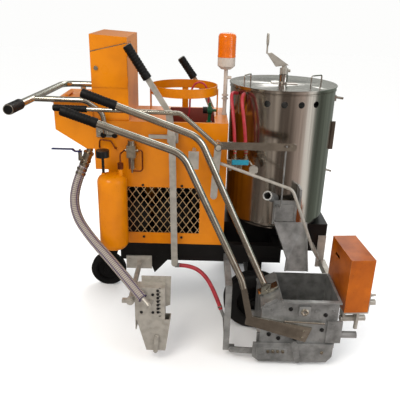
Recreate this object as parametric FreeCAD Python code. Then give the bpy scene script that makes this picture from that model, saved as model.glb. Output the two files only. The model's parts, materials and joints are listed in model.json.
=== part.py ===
"""Self-propelled thermoplastic line striping machine, one STEP file per piece.

Millimetres, +Z up, +X the way the machine travels, +Y away from the working side.
The origin is on the ground under the middle of the machine.
"""
import FreeCAD, Part
import math
import os

V = FreeCAD.Vector
AXIS = {"x": V(1, 0, 0), "y": V(0, 1, 0), "z": V(0, 0, 1)}

# ---- fits -------------------------------------------------------------------------
RUN_FIT = 0.05            # radial play of a pin or shaft in its bore
GAP = 0.5                 # play between faces of pieces that move past each other
SCREW_PLAY = 0.1          # radial play of a screw in its hole

# ---- chassis ----------------------------------------------------------------------
MID_Y = 140.0             # centre plane of the chassis and of the kettle
RAIL_W = 40.0             # width of a chassis rail
RAIL_H = 90.0
RAIL_TOP = 430.0          # top of the rails above the ground
NEAR_RAIL_Y = -140.0      # outer face of the rail on the working side
FAR_RAIL_Y = 420.0        # outer face of the other rail
CHASSIS_REAR_X = -400.0
CHASSIS_FRONT_X = 627.0
NEAR_RAIL_FRONT_X = 380.0
DECK_T = 6.0              # engine deck plate

# ---- wheels -----------------------------------------------------------------------
WHEEL_R = 150.0
WHEEL_W = 80.0
RIM_R = 92.0
WHEEL_X = 260.0           # front axle
NEAR_WHEEL_Y = -170.0     # middles of the front wheels
FAR_WHEEL_Y = 476.0
AXLE_R = 14.0
AXLE_BEAM_R = 26.0
CASTER_R = 97.0
CASTER_W = 44.0
CASTER_X = -528.0
CASTER_Y = 188.0
CASTER_TRAIL = 36.0       # swivel pin ahead of the caster's axle
TONGUE_Z = 300.0          # underside of the tongue that holds the caster

# ---- body housing -----------------------------------------------------------------
SHEET = 3.0               # sheet metal thickness of the painted covers
BODY_REAR_X = -499.0
BODY_FRONT_X = 97.0
BODY_NEAR_Y = -140.0
BODY_FAR_Y = 210.0
BODY_TOP = 1025.0
STEP_Z = 800.0            # underside of the part of the body above the air tank
STEP_X = 58.0             # how far the upper body stands back past the lower one
GRILLE_X0 = -361.0
GRILLE_X1 = -21.0
GRILLE_Z0 = 487.0
GRILLE_Z1 = 719.0
WIRE = 2.0                # square wire of the grille
DIAMOND_W = 36.0
DIAMOND_H = 50.0
WELL_X0 = -180.0          # recess for the gas cylinder
WELL_X1 = 38.0
WELL_DEPTH = 150.0

# ---- control cabinet --------------------------------------------------------------
CAB_LEN = 157.0
CAB_TOP = 1382.0
CAB_NEAR_Y = -130.0
DOOR_T = 2.5
DOOR_Z0 = 1168.0
BARREL_R = 3.0            # hinge barrels of the door and the lids
SEAM_REAR_Z = 1315.0      # the door's slanted top edge, at its free side
SEAM_FRONT_Z = 1352.0

# ---- gas cylinder ring ------------------------------------------------------------
RING_X = -107.0
RING_Y = 55.0
RING_R = 155.0
RING_BAND = 40.0
RING_TOP = 1162.0

# ---- bead hopper, hose and dispenser ----------------------------------------------
HOPPER_LEN = 169.0
HOPPER_TOP = 1100.0
HOPPER_LIP_Z = 980.0      # bottom of the upright rear wall
HOPPER_BASE_Z = 895.0
HOPPER_FLAT = 36.0        # flat bottom beside the body
HOPPER_NEAR_Y = -138.0
HOPPER_FAR_Y = 190.0
BEAD_HOSE_D = 44.0
VALVE_R = 17.0
DISP_X0 = -285.0
DISP_X1 = -160.0
DISP_NEAR_Y = -470.0
DISP_DEPTH = 50.0
DISP_Z0 = 225.0
DISP_Z1 = 385.0
CHUTE_Z0 = 60.0           # mouth of the dispenser's funnel above the ground

# ---- air --------------------------------------------------------------------------
TANK_R = 65.0
TANK_X = -412.0
TANK_STAND = 15.0         # between the tank and the body
TANK_Z0 = 446.0
TANK_Z1 = 806.0

# ---- kettle -----------------------------------------------------------------------
KETTLE_X = 364.0
KETTLE_R = 250.0
KETTLE_Z0 = 492.0
KETTLE_TOP = 1164.0
JACKET_T = 2.5
POT_R = 215.0
POT_Z0 = 560.0
LID_R = 256.0
LID_T = 5.0
LID_SPLIT = 36.0          # the lid's split line, this far in front of the stirrer
SHAFT_R = 12.0
VENT_R = 14.5
VENT_Z = 1108.0
VENT_ANGLES = (-23.0, -5.5, 12.0, 29.0)
STAND_X0 = 100.0
STAND_HALF = 145.0
PLATE_T = 8.0             # kettle's base plate
BASE_HOLE_R = 150.0       # for the burner's heat

# ---- levers -----------------------------------------------------------------------
LEVER_R = 14.5            # long polished tubes
LEVER_WALL = 2.5
GRIP_T = 4.5              # wall of a rubber grip
GATE_LEVER_Y = -360.0
SHOE_LEVER_Y = -470.0
OUTLET_LEVER_Y = -220.0
OUTLET_TUBE_R = 10.0
OUTLET_PIVOT = (53.0, 942.0)
LINK_LEN = 324.0          # flat link from the outlet lever's pivot to its end
LINK_W = 34.0
ROD_X = 350.0             # outlet gate's pull rod
DRIVE_PIVOT = (-149.0, 966.0)
BAR_T = 8.0               # flat lever bars
PIN_R = 8.0

# ---- marking shoe -----------------------------------------------------------------
SHOE_X0 = 262.0
SHOE_X1 = 596.0
SHOE_MOUTH_X = 345.0      # rear edge of the mouth
SHOE_NEAR_Y = -465.0
SHOE_FAR_Y = -228.0
SHOE_TOP = 338.0
SHOE_SHOULDER = 292.0     # foot of the sloping rear cover
SHOE_BASE = 92.0
SHOE_T = 5.0
SKID_Z0 = 20.0
SHOE_PIVOT = (142.0, 55.0)
HINGE_PIN_R = 4.0
HINGE_EAR_R = 9.0
GATE_X0 = 288.0           # blade that closes the slot in the shoe's floor
GATE_X1 = 332.0
BLADE_Z = SHOE_BASE + SHOE_T + 1.5
GATE_PIVOT = (289.0, 324.0)

# ---- side box ---------------------------------------------------------------------
BOX_X = 660.0
BOX_LEN = 108.0
BOX_NEAR_Y = -434.0
BOX_FAR_Y = -190.0
BOX_Z0 = 262.0
BOX_Z1 = 522.0
BOX_YAW = 5.0

# ---- engine and compressor --------------------------------------------------------
PULLEY_Y = -84.0
BELT_W = 12.0
ENGINE_PULLEY = (-150.0, RAIL_TOP + 110, 42.0)      # centre X and Z, radius
AIR_PULLEY = (-340.0, RAIL_TOP + 116, 74.0)
PULLEY_SHAFT_R = 12.0

# ---- gas regulator on the cylinder ring -------------------------------------------
REG_Y = 40.0
REG_BACK_X = RING_X + RING_R - 8       # just behind the ring's front post
REGULATOR_HOSE_D = 9.0
REGULATOR_HOSE = [
    (8.0, 40.0, 1082.0), (8.0, 40.0, 1126.0), (-12.0, 41.0, 1170.0), (-50.0, 44.0, 1176.0),
    (-74.0, 47.0, 1140.0), (-80.0, 50.0, 1090.0), (-79.0, 50.0, 1036.0), (-92.0, 50.0, 986.0),
]

# ---- ball valve, bead hose and dispenser arm --------------------------------------
VALVE_Y = -100.0
VALVE_STEM = (-576.0, 868.0)
BEAD_HOSE = [
    (-561.0, -100.0, 805.0), (-606.0, -130.0, 708.0), (-597.0, -188.0, 594.0),
    (-508.0, -274.0, 514.0), (-380.0, -384.0, 440.0), (-252.0, -497.0, 350.0),
]
ARM_X = -306.0
ARM_Z = 328.0
DISP_GATE = (-196.0, 138.0)

# ---- air fittings -----------------------------------------------------------------
TANK_Y = BODY_NEAR_Y - TANK_STAND - TANK_R
FRL_X = -330.0            # filter and pressure regulator
FRL_Z = 900.0

# ---- handlebar --------------------------------------------------------------------
BAR_X = -742.0
BAR_R = 15.0
STAY_R = 12.5
BAR_END_Y = -455.0
BAR_FAR_Y = 315.0
BAR_NEAR_Z = 1132.0
BAR_FAR_Z = 1108.0
STAY_Y = -180.0
BAR_FOOT = (-440.0, 975.0)
BAR_PATH = [(BAR_X, BAR_END_Y, BAR_NEAR_Z), (BAR_X, BAR_FAR_Y, BAR_FAR_Z)]
THROTTLE = (-640.0, 1076.0)
BAR_GRIP_LEN = 118.0

# ---- lever outlines, in X and Z ---------------------------------------------------
GATE_LEVER = [(-486.0, 1183.0), (-28.0, 1018.0), GATE_PIVOT]
SHOE_LEVER = [(-541.0, 1136.0), (-90.0, 981.0), (163.0, 440.0), (174.0, 398.0)]
OUTLET_LEVER = [(-642.0, 1094.0), (-110.0, 1083.0), OUTLET_PIVOT]
LEVER_BEND = 110.0
DRIVE_TOP = (-326.0, 1334.0)
DRIVE_KNEE = (-163.0, 1078.0)
DRIVE_FOOT = (-135.0, 345.0)
BRAKE_Y = 240.0
BRAKE_PIVOT = (40.0, 985.0)
BRAKE_KNEE = (2.0, 1071.0)
BRAKE_TOP = (-122.0, 1246.0)
GRIP_LEN = 138.0

# ---- beacon -----------------------------------------------------------------------
BEACON_X = 84.0
BEACON_Y = 50.0
BEACON_BASE_Z = 1236.0
BEACON_TOP = 1393.0
BEACON_R = 41.0

# ---- outlet and gas lines ---------------------------------------------------------
OUTLET_FACE_Y = -150.0
OUTLET_X = 378.0
OUTLET_Z = 612.0
OUTLET_R = 38.0
GAS_HOSE_D = 16.0
MANIFOLD = (158.0, -120.0, 849.0)
GAS_HOSES = [
    [(133.0, -120.0, 886.0), (127.0, -112.0, 975.0), (118.0, -84.0, 1060.0), (108.0, -42.0, 1126.0),
     (116.0, -4.0, 1142.0), (139.0, 20.0, 1132.0)],
    [(183.0, -120.0, 886.0), (176.0, -119.0, 962.0), (166.0, -108.0, 1040.0), (156.0, -88.0, 1100.0),
     (156.0, -62.0, 1136.0), (166.0, -38.0, 1140.0)],
]
BURNER_HOSE_D = 20.0
BURNER_HOSE = [
    (-112.0, -157.0, 322.0), (-52.0, -160.0, 322.0), (14.0, -192.0, 292.0), (62.0, -232.0, 222.0),
    (94.0, -262.0, 146.0),
]
GAS_PIPE = [
    (42.0, -150.0, 862.0), (42.0, -170.0, 861.0), (385.0, -252.0, 766.0), (456.0, -255.0, 595.0),
    (500.0, -252.0, 486.0), (552.0, -200.0, 392.0), (560.0, -60.0, 384.0), (560.0, -5.0, 384.0),
]


# ---- shape helpers ----------------------------------------------------------------
def box(x0, x1, y0, y1, z0, z1):
    """Block between two corners."""
    return Part.makeBox(x1 - x0, y1 - y0, z1 - z0, V(x0, y0, z0))


def rod(start, end, radius, bore=0.0):
    """Round bar or pipe from one point to another."""
    a = V(*start)
    run = V(*end) - a
    bar = Part.makeCylinder(radius, run.Length, a, run)
    if bore:
        bar = bar.cut(Part.makeCylinder(bore, run.Length, a, run))
    return bar


def drum(centre, axis, radius, length, bore=0.0):
    """Round disc or ring about a point, centred along an axis."""
    a = V(*centre) - AXIS[axis] * (length / 2)
    return rod(a, a + AXIS[axis] * length, radius, bore)


def plate(outline, y0, y1):
    """Sheet whose outline is given in X and Z, from y0 to y1."""
    corners = [V(x, y0, z) for x, z in outline]
    face = Part.Face(Part.makePolygon(corners + corners[:1]))
    return face.extrude(V(0, y1 - y0, 0))


def bar(start, end, width, y0, y1, eye=0.0):
    """Flat bar in an XZ plane with round ends, optionally with an eye at its start."""
    a = V(start[0], 0, start[1])
    b = V(end[0], 0, end[1])
    side = (b - a).cross(AXIS["y"]).normalize() * (width / 2)
    outline = [a + side, b + side, b - side, a - side]
    solid = plate([(p.x, p.z) for p in outline], y0, y1)
    for p in (a, b):
        solid = solid.fuse(rod((p.x, y0, p.z), (p.x, y1, p.z), width / 2))
    if eye:
        solid = solid.cut(rod((a.x, y0 - 1, a.z), (a.x, y1 + 1, a.z), eye))
    return solid.removeSplitter()


def fused(shapes):
    """One solid from pieces welded together."""
    return shapes[0].multiFuse(shapes[1:]).removeSplitter()


def group(shapes):
    """Separate solids that share a node."""
    return Part.makeCompound(shapes)


def bend_path(points, radius=None):
    """Straight runs joined by tangent arcs; gives the wire and the arc radii.

    Without a radius each arc is as large as its two runs allow.
    """
    pts = [V(*p) for p in points]
    edges = []
    radii = []
    start = pts[0]
    for before, corner, after in zip(pts, pts[1:], pts[2:]):
        d_in = (corner - before).normalize()
        d_out = (after - corner).normalize()
        half = d_in.getAngle(d_out) / 2
        shorter = min((corner - before).Length, (after - corner).Length)
        r = radius if radius else 0.45 * shorter / math.tan(half)
        r = min(r, 0.48 * shorter / math.tan(half))
        setback = r * math.tan(half)
        arc_in = corner - d_in * setback
        arc_out = corner + d_out * setback
        inward = (d_out - d_in).normalize()
        middle = corner + inward * (r / math.cos(half) - r)
        edges.append(Part.LineSegment(start, arc_in).toShape())
        edges.append(Part.Arc(arc_in, middle, arc_out).toShape())
        radii.append(round(r, 1))
        start = arc_out
    edges.append(Part.LineSegment(start, pts[-1]).toShape())
    return Part.Wire(edges), radii


def swept(points, tube_r, bore=0.0, radius=None):
    """Round tube along a bent path."""
    path, _ = bend_path(points, radius)
    run = V(*points[1]) - V(*points[0])

    def skin(r):
        ring = Part.Wire([Part.Circle(V(*points[0]), run, r).toShape()])
        return path.makePipeShell([ring], True, True)

    solid = skin(tube_r)
    if bore:
        solid = solid.cut(skin(bore))
    return solid


def xz(points, y):
    """Points given in X and Z, put at one Y."""
    return [(x, y, z) for x, z in points]


def toward(a, b, distance):
    """Point at a distance from a on the way to b."""
    step = (V(*b) - V(*a)).normalize() * distance
    return tuple(V(*a) + step)


def grip_on(points, tube_r, length, bulge=GRIP_T):
    """Rubber sleeve over the free end of a tube whose path starts at points[0]."""
    end = toward(points[0], points[1], length)
    cap = toward(points[0], points[1], -bulge)
    sleeve = rod(points[0], end, tube_r + bulge, tube_r)
    return sleeve.fuse(rod(cap, points[0], tube_r + bulge)).removeSplitter()


def bolt(x, z, face_y, head_r=6.0, head_h=5.0):
    """Bolt head on a face that looks towards the working side."""
    return rod((x, face_y - head_h, z), (x, face_y, z), head_r)


# ---- chassis and wheels -----------------------------------------------------------
def chassis():
    """Rails, cross members, kettle stand, axle brackets and caster tongue, welded."""
    z0 = RAIL_TOP - RAIL_H
    far_in = FAR_RAIL_Y - RAIL_W
    near_in = NEAR_RAIL_Y + RAIL_W
    pieces = [
        box(CHASSIS_REAR_X, NEAR_RAIL_FRONT_X, NEAR_RAIL_Y, near_in, z0, RAIL_TOP),
        box(CHASSIS_REAR_X, CHASSIS_FRONT_X, far_in, FAR_RAIL_Y, z0, RAIL_TOP),
        box(CHASSIS_REAR_X, BODY_FRONT_X, near_in, far_in, RAIL_TOP - DECK_T, RAIL_TOP),
    ]
    for x in (CHASSIS_REAR_X, STAND_X0 - RAIL_W, NEAR_RAIL_FRONT_X - RAIL_W):
        pieces.append(box(x, x + RAIL_W, near_in, far_in, z0, RAIL_TOP))
    stand_near = MID_Y - STAND_HALF
    stand_far = MID_Y + STAND_HALF
    front_in = CHASSIS_FRONT_X - RAIL_W
    pieces.append(box(front_in, CHASSIS_FRONT_X, stand_near, far_in, z0, RAIL_TOP))
    stand_top = KETTLE_Z0 - PLATE_T
    skirt = box(STAND_X0, CHASSIS_FRONT_X, stand_near, stand_far, z0, stand_top)
    inside = box(STAND_X0 + 6, CHASSIS_FRONT_X - 6, stand_near + 6, stand_far - 6, z0, stand_top)
    pieces.append(skirt.cut(inside))
    base = box(STAND_X0, CHASSIS_FRONT_X, stand_near, stand_far, stand_top, KETTLE_Z0)
    hole = rod(kettle_axis(stand_top - 1), kettle_axis(KETTLE_Z0 + 1), BASE_HOLE_R)
    pieces.append(base.cut(hole))
    tongue_x = CASTER_X + CASTER_TRAIL
    pieces.append(box(tongue_x - 60, CHASSIS_REAR_X + RAIL_W, CASTER_Y - 35, CASTER_Y + 35,
                      TONGUE_Z, TONGUE_Z + 50))
    for y in (NEAR_RAIL_Y + RAIL_W - 12, FAR_RAIL_Y - RAIL_W + 4):
        pieces.append(box(WHEEL_X - 35, WHEEL_X + 35, y, y + 8, WHEEL_R - 30, z0))
    near_y = NEAR_RAIL_Y + RAIL_W - 12
    far_y = FAR_RAIL_Y - RAIL_W + 12
    pieces.append(rod((WHEEL_X, near_y, WHEEL_R), (WHEEL_X, far_y, WHEEL_R), AXLE_BEAM_R))
    for side, wheel_y in ((-1, NEAR_WHEEL_Y), (1, FAR_WHEEL_Y)):
        tip = wheel_y + side * (WHEEL_W / 2 + 5)
        pieces.append(rod((WHEEL_X, MID_Y, WHEEL_R), (WHEEL_X, tip, WHEEL_R), AXLE_R))
    notch = plate([(-262, z0), (-172, z0), (-235, z0 - 72)], NEAR_RAIL_Y, NEAR_RAIL_Y + 8)
    pieces.append(notch)
    pin = rod((tongue_x, CASTER_Y, TONGUE_Z - 46), (tongue_x, CASTER_Y, TONGUE_Z + 10), PIN_R)
    head = rod((tongue_x, CASTER_Y, TONGUE_Z - 24), (tongue_x, CASTER_Y, TONGUE_Z), 34)
    return fused(pieces + [pin, head])


def shoe_hanger():
    """Outrigger and drop bar that carry the marking shoe's hinge."""
    z0 = RAIL_TOP - RAIL_H
    x, z = SHOE_PIVOT
    out_y = SHOE_LEVER_Y + 38
    arm = box(x - 40, x - 12, out_y, NEAR_RAIL_Y, z0 + 14, z0 + 44)
    drop = box(x - 40, x - 12, out_y, out_y + 10, z + 8, z0 + 44)
    foot = box(x - 40, x + 12, out_y, out_y + 10, z - 14, z + 14)
    pin = rod((x, out_y - 21, z), (x, out_y, z), PIN_R)
    elbow = (x - 30, -272.0, 104.0)
    pipe = rod(BURNER_HOSE[-1], elbow, 8)
    spray = rod(elbow, (elbow[0], out_y + 5, elbow[2]), 8)
    return fused([arm, drop, foot, pin, pipe, spray])


def wheel(wheel_y):
    """Solid tyre on a pressed steel rim, turning on the stub axle."""
    tyre = drum((WHEEL_X, wheel_y, WHEEL_R), "y", WHEEL_R, WHEEL_W, RIM_R)
    tyre = tyre.makeFillet(18, [e for e in tyre.Edges if e.Length > 6 * WHEEL_R])
    rim = drum((WHEEL_X, wheel_y, WHEEL_R), "y", RIM_R, WHEEL_W - 16, RIM_R - 5)
    web = drum((WHEEL_X, wheel_y, WHEEL_R), "y", RIM_R - 4, 6)
    for turn in range(5):
        a = math.radians(72 * turn)
        hole = (WHEEL_X + 56 * math.cos(a), wheel_y, WHEEL_R + 56 * math.sin(a))
        web = web.cut(drum(hole, "y", 15, 20))
    hub = drum((WHEEL_X, wheel_y, WHEEL_R), "y", AXLE_R + 14, WHEEL_W - 4)
    rim = fused([rim, web, hub]).cut(
        drum((WHEEL_X, wheel_y, WHEEL_R), "y", AXLE_R + RUN_FIT, WHEEL_W))
    return tyre, rim


def caster():
    """Swivel fork and wheel at the rear."""
    swivel_x = CASTER_X + CASTER_TRAIL
    top = TONGUE_Z - 24 - GAP
    half = CASTER_W / 2 + 4
    crown = box(swivel_x - 40, swivel_x + 40, CASTER_Y - half - 6, CASTER_Y + half + 6, top - 10, top)
    crown = crown.cut(rod((swivel_x, CASTER_Y, 0), (swivel_x, CASTER_Y, RAIL_TOP), PIN_R + RUN_FIT))
    legs = []
    for y in (CASTER_Y - half - 6, CASTER_Y + half):
        outline = [(swivel_x - 36, top), (swivel_x + 36, top), (CASTER_X + 20, CASTER_R - 18),
                   (CASTER_X - 20, CASTER_R - 18)]
        legs.append(plate(outline, y, y + 6))
    axle = rod((CASTER_X, CASTER_Y - half - 10, CASTER_R), (CASTER_X, CASTER_Y + half + 10, CASTER_R), PIN_R)
    fork = fused([crown, axle] + legs)
    tyre = drum((CASTER_X, CASTER_Y, CASTER_R), "y", CASTER_R, CASTER_W, PIN_R + RUN_FIT)
    tyre = tyre.makeFillet(8, [e for e in tyre.Edges if e.Length > 4 * CASTER_R])
    return fork, tyre


# ---- body, engine and compressor --------------------------------------------------
def body_housing():
    """Bent sheet cover over the engine, with the well for the gas cylinder."""
    def block(inset, floor):
        lower = box(BODY_REAR_X + STEP_X + inset, BODY_FRONT_X - inset, BODY_NEAR_Y + inset,
                    BODY_FAR_Y - inset, floor, BODY_TOP - inset)
        upper = box(BODY_REAR_X + inset, BODY_FRONT_X - inset, BODY_NEAR_Y + inset,
                    BODY_FAR_Y - inset, STEP_Z + inset, BODY_TOP - inset)
        return lower.fuse(upper)

    shell = block(0, RAIL_TOP).cut(block(SHEET, RAIL_TOP - 1))
    grille = box(GRILLE_X0, GRILLE_X1, BODY_NEAR_Y - 1, BODY_NEAR_Y + SHEET + 1, GRILLE_Z0, GRILLE_Z1)
    margin = 14
    well = box(WELL_X0, WELL_X1, BODY_NEAR_Y + margin, BODY_FAR_Y - margin, BODY_TOP - WELL_DEPTH, BODY_TOP)
    hollow = box(WELL_X0 + 2, WELL_X1 - 2, BODY_NEAR_Y + margin + 2, BODY_FAR_Y - margin - 2,
                 BODY_TOP - WELL_DEPTH + 2, BODY_TOP + 1)
    shell = shell.cut(grille).fuse(well).cut(hollow).removeSplitter()
    for x, z in housing_screw_places():
        shell = shell.cut(rod((x, BODY_NEAR_Y - 1, z), (x, BODY_NEAR_Y + SHEET + 1, z), 3 + SCREW_PLAY))
    return shell


def housing_screw_places():
    """The four screws above and below the grille."""
    inset = 76.0
    places = []
    for x in (GRILLE_X0 + inset, GRILLE_X1 - inset - 8):
        for z in (GRILLE_Z0 - 22, GRILLE_Z1 + 10):
            places.append((x, z))
    return places


def housing_screws():
    """Pan head screws through the grille frame."""
    screws = []
    for x, z in housing_screw_places():
        head = rod((x, BODY_NEAR_Y - 3.5, z), (x, BODY_NEAR_Y, z), 6)
        shank = rod((x, BODY_NEAR_Y, z), (x, BODY_NEAR_Y + SHEET + 6, z), 3)
        screws.append(head.fuse(shank))
    return group(screws)


def grille_mesh():
    """Diamond mesh welded in a flat frame behind the opening."""
    y0 = BODY_NEAR_Y + SHEET
    x0, x1 = GRILLE_X0, GRILLE_X1
    z0, z1 = GRILLE_Z0, GRILLE_Z1
    rim = 6.0
    frame = box(x0 - rim, x1 + rim, y0, y0 + WIRE, z0 - rim, z1 + rim)
    window = box(x0, x1, y0 - 1, y0 + WIRE + 1, z0, z1)
    rise = DIAMOND_H / DIAMOND_W
    height = z1 - z0
    drift = height / rise
    wires = []
    count = int((x1 - x0 + drift) / DIAMOND_W) + 1
    for step in range(count):
        foot = x0 - drift + DIAMOND_W * (step + 0.5)
        for lean in (1, -1):
            low = foot if lean == 1 else x0 + x1 - foot
            outline = [(low - WIRE, z0 - 1), (low + WIRE, z0 - 1),
                       (low + lean * drift + WIRE, z1 + 1), (low + lean * drift - WIRE, z1 + 1)]
            wires.append(plate(outline, y0, y0 + WIRE).common(frame))
    return fused([frame.cut(window)] + [w for w in wires if w.Solids])


def engine():
    """Air-cooled engine block with fins, fan housing, tank and shaft stub."""
    z0 = RAIL_TOP
    crankcase = box(-250, -60, -20, 130, z0, z0 + 150)
    fan = rod((-150, -46, z0 + 110), (-150, -20, z0 + 110), 88)
    fins = [box(-235, -75, 0, 110, z0 + 150 + 16 * n, z0 + 158 + 16 * n) for n in range(6)]
    barrel = box(-215, -95, 20, 95, z0 + 150, z0 + 250)
    tank = box(-60, 60, -10, 150, z0 + 160, z0 + 270)
    leg = box(-60, 20, 20, 60, z0, z0 + 160)
    shaft = rod((-150, -96, z0 + 110), (-150, -46, z0 + 110), 12)
    return fused([crankcase, fan, barrel, leg, tank, shaft] + fins)


def pulley(centre_x, centre_z, radius):
    """Flat-crowned pulley with side flanges."""
    body = drum((centre_x, PULLEY_Y, centre_z), "y", radius, BELT_W + 2)
    for side in (-1, 1):
        y = PULLEY_Y + side * (BELT_W / 2 + 2)
        body = body.fuse(drum((centre_x, y, centre_z), "y", radius + 7, 3))
    bore = drum((centre_x, PULLEY_Y, centre_z), "y", PULLEY_SHAFT_R + RUN_FIT, 40)
    return body.removeSplitter().cut(bore)


def drive_belt():
    """Belt round both pulleys, a hair clear of them."""
    def loop(extra):
        (xa, za, ra), (xb, zb, rb) = AIR_PULLEY, ENGINE_PULLEY
        span = math.hypot(xb - xa, zb - za)
        base = math.atan2(zb - za, xb - xa)
        lean = math.acos((ra - rb) / span)
        corners = []
        tangents = ((xa, za, ra, lean), (xb, zb, rb, lean), (xb, zb, rb, -lean), (xa, za, ra, -lean))
        for cx, cz, r, turn in tangents:
            angle = base + turn
            corners.append((cx + (r + extra) * math.cos(angle), cz + (r + extra) * math.sin(angle)))
        y0 = PULLEY_Y - BELT_W / 2 + 0.6
        y1 = PULLEY_Y + BELT_W / 2 - 0.6
        solid = plate(corners, y0, y1)
        for cx, cz, r in (AIR_PULLEY, ENGINE_PULLEY):
            solid = solid.fuse(rod((cx, y0, cz), (cx, y1, cz), r + extra))
        return solid.removeSplitter()

    return loop(5.3).cut(loop(0.3))


def compressor():
    """Twin-head air compressor beside the engine."""
    x, z = AIR_PULLEY[0], AIR_PULLEY[1]
    base = box(x - 60, x + 60, -40, 100, RAIL_TOP, z - 30)
    case = rod((x, -40, z), (x, 100, z), 56)
    heads = []
    for y in (0, 70):
        heads.append(rod((x, y, z), (x, y, z + 130), 28))
        for n in range(4):
            heads.append(rod((x, y, z + 66 + 14 * n), (x, y, z + 72 + 14 * n), 38))
    shaft = rod((x, -96, z), (x, -40, z), 12)
    return fused([base, case, shaft] + heads)


# ---- control cabinet --------------------------------------------------------------
def cabinet_outline(inset):
    """Side view of the cabinet, drawn in by the inset."""
    x0 = BODY_REAR_X + inset
    x1 = BODY_REAR_X + CAB_LEN - inset
    foot = BODY_TOP + inset
    return [(x0, foot), (x1, foot), (x1, CAB_TOP - 6 - inset), (x0, CAB_TOP + 4 - inset)]


def control_cabinet():
    """Upright electrical cabinet, open behind its door."""
    shell = plate(cabinet_outline(0), CAB_NEAR_Y, BODY_FAR_Y)
    shell = shell.cut(plate(cabinet_outline(SHEET), CAB_NEAR_Y + SHEET, BODY_FAR_Y - SHEET))
    x0 = BODY_REAR_X + 16
    x1 = BODY_REAR_X + CAB_LEN - 16
    opening = plate([(x0, DOOR_Z0 + 14), (x1, DOOR_Z0 + 14), (x1, SEAM_FRONT_Z - 14), (x0, SEAM_REAR_Z - 14)],
                    CAB_NEAR_Y - 1, CAB_NEAR_Y + SHEET + 1)
    shell = shell.cut(opening)
    right = BODY_REAR_X + CAB_LEN
    for y in (-96, -62, -28):
        shell = shell.cut(rod((right - 6, y, CAB_TOP - 36), (right + 1, y, CAB_TOP - 36), 9))
    return shell


def cabinet_door():
    """Side door with a slanted top edge, its hinge barrels and its lock."""
    y1 = CAB_NEAR_Y - GAP
    y0 = y1 - DOOR_T
    x0 = BODY_REAR_X + 1
    x1 = BODY_REAR_X + CAB_LEN - 1
    leaf = plate([(x0, DOOR_Z0), (x1, DOOR_Z0), (x1, SEAM_FRONT_Z), (x0, SEAM_REAR_Z)], y0, y1)
    barrels = []
    for z in (DOOR_Z0 + 20, SEAM_FRONT_Z - 50):
        barrels.append(rod((x1, y0 - 1, z), (x1, y0 - 1, z + 30), BARREL_R))
    lock = rod((x0 + 22, y0 - 5, DOOR_Z0 + 81), (x0 + 22, y0, DOOR_Z0 + 81), 9)
    return fused([leaf] + barrels), lock


# ---- gas cylinder ring and regulator ----------------------------------------------
def cylinder_ring():
    """Hoop that keeps the gas cylinder upright, on three posts."""
    hoop = drum((RING_X, RING_Y, RING_TOP - RING_BAND / 2), "z", RING_R, RING_BAND, RING_R - 4)
    posts = [hoop]
    for dx, dy in ((-1, 0), (1, 0), (0, 1)):
        x = RING_X + dx * (RING_R + 1)
        y = RING_Y + dy * (RING_R + 1)
        wide_x = 15 if dy else 3
        wide_y = 15 if dx else 3
        posts.append(box(x - wide_x, x + wide_x, y - wide_y, y + wide_y, BODY_TOP, RING_TOP - RING_BAND / 2))
    return fused(posts)


def gas_regulator():
    """Pressure regulator clamped to the ring's front post."""
    x = REG_BACK_X
    body = rod((x - 36, REG_Y, 1046), (x - 14, REG_Y, 1046), 18)
    stem = rod((x - 24, REG_Y, 1046), (x - 27, REG_Y, 990), 8)
    nut = rod((x - 27, REG_Y, 994), (x - 29, REG_Y, 966), 13)
    hook = box(x - 20, x + 6, REG_Y - 5, REG_Y + 5, 1040, 1052)
    inlet = rod((x - 26, REG_Y, 1060), (x - 26, REG_Y, 1082), 6)
    spindle = rod((x - 52, REG_Y, 1046), (x - 36, REG_Y, 1046), 4)
    return fused([body, stem, nut, hook, inlet, spindle])


def regulator_knob():
    """Fluted adjusting knob."""
    x = REG_BACK_X
    knob = rod((x - 58, REG_Y, 1046), (x - 37, REG_Y, 1046), 16)
    for n in range(8):
        a = math.radians(45 * n)
        y = REG_Y + 17 * math.cos(a)
        z = 1046 + 17 * math.sin(a)
        knob = knob.cut(rod((x - 60, y, z), (x - 37, y, z), 3))
    return knob.cut(rod((x - 53, REG_Y, 1046), (x - 30, REG_Y, 1046), 4 + RUN_FIT))


# ---- bead hopper, valve, hose and dispenser ---------------------------------------
def hopper_outline(inset):
    """Side view of the hopper, drawn in by the inset."""
    x0 = BODY_REAR_X - HOPPER_LEN + inset
    x1 = BODY_REAR_X - inset
    return [(x0, HOPPER_TOP + 1), (x0, HOPPER_LIP_Z + inset), (x1 - HOPPER_FLAT, HOPPER_BASE_Z + inset),
            (x1, HOPPER_BASE_Z + inset), (x1, HOPPER_TOP + 1)]


def bead_hopper():
    """Glass bead bin behind the body, sloping down to its outlet."""
    shell = plate(hopper_outline(0), HOPPER_NEAR_Y, HOPPER_FAR_Y)
    shell = shell.cut(plate(hopper_outline(SHEET), HOPPER_NEAR_Y + SHEET, HOPPER_FAR_Y - SHEET))
    trim = box(BODY_REAR_X - HOPPER_LEN - 1, BODY_REAR_X + 1, HOPPER_NEAR_Y - 1, HOPPER_FAR_Y + 1,
               HOPPER_TOP, HOPPER_TOP + 5)
    outlet_x = BODY_REAR_X - 18 - 10
    outlet = rod((outlet_x, VALVE_Y, HOPPER_BASE_Z - 1), (outlet_x, VALVE_Y, HOPPER_BASE_Z + 20), 10)
    return shell.cut(trim).cut(outlet)


def lid_hinge():
    """Middle of the hopper lid's hinge, as X and Z."""
    return BODY_REAR_X - 6, HOPPER_TOP + 2 + BARREL_R


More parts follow.
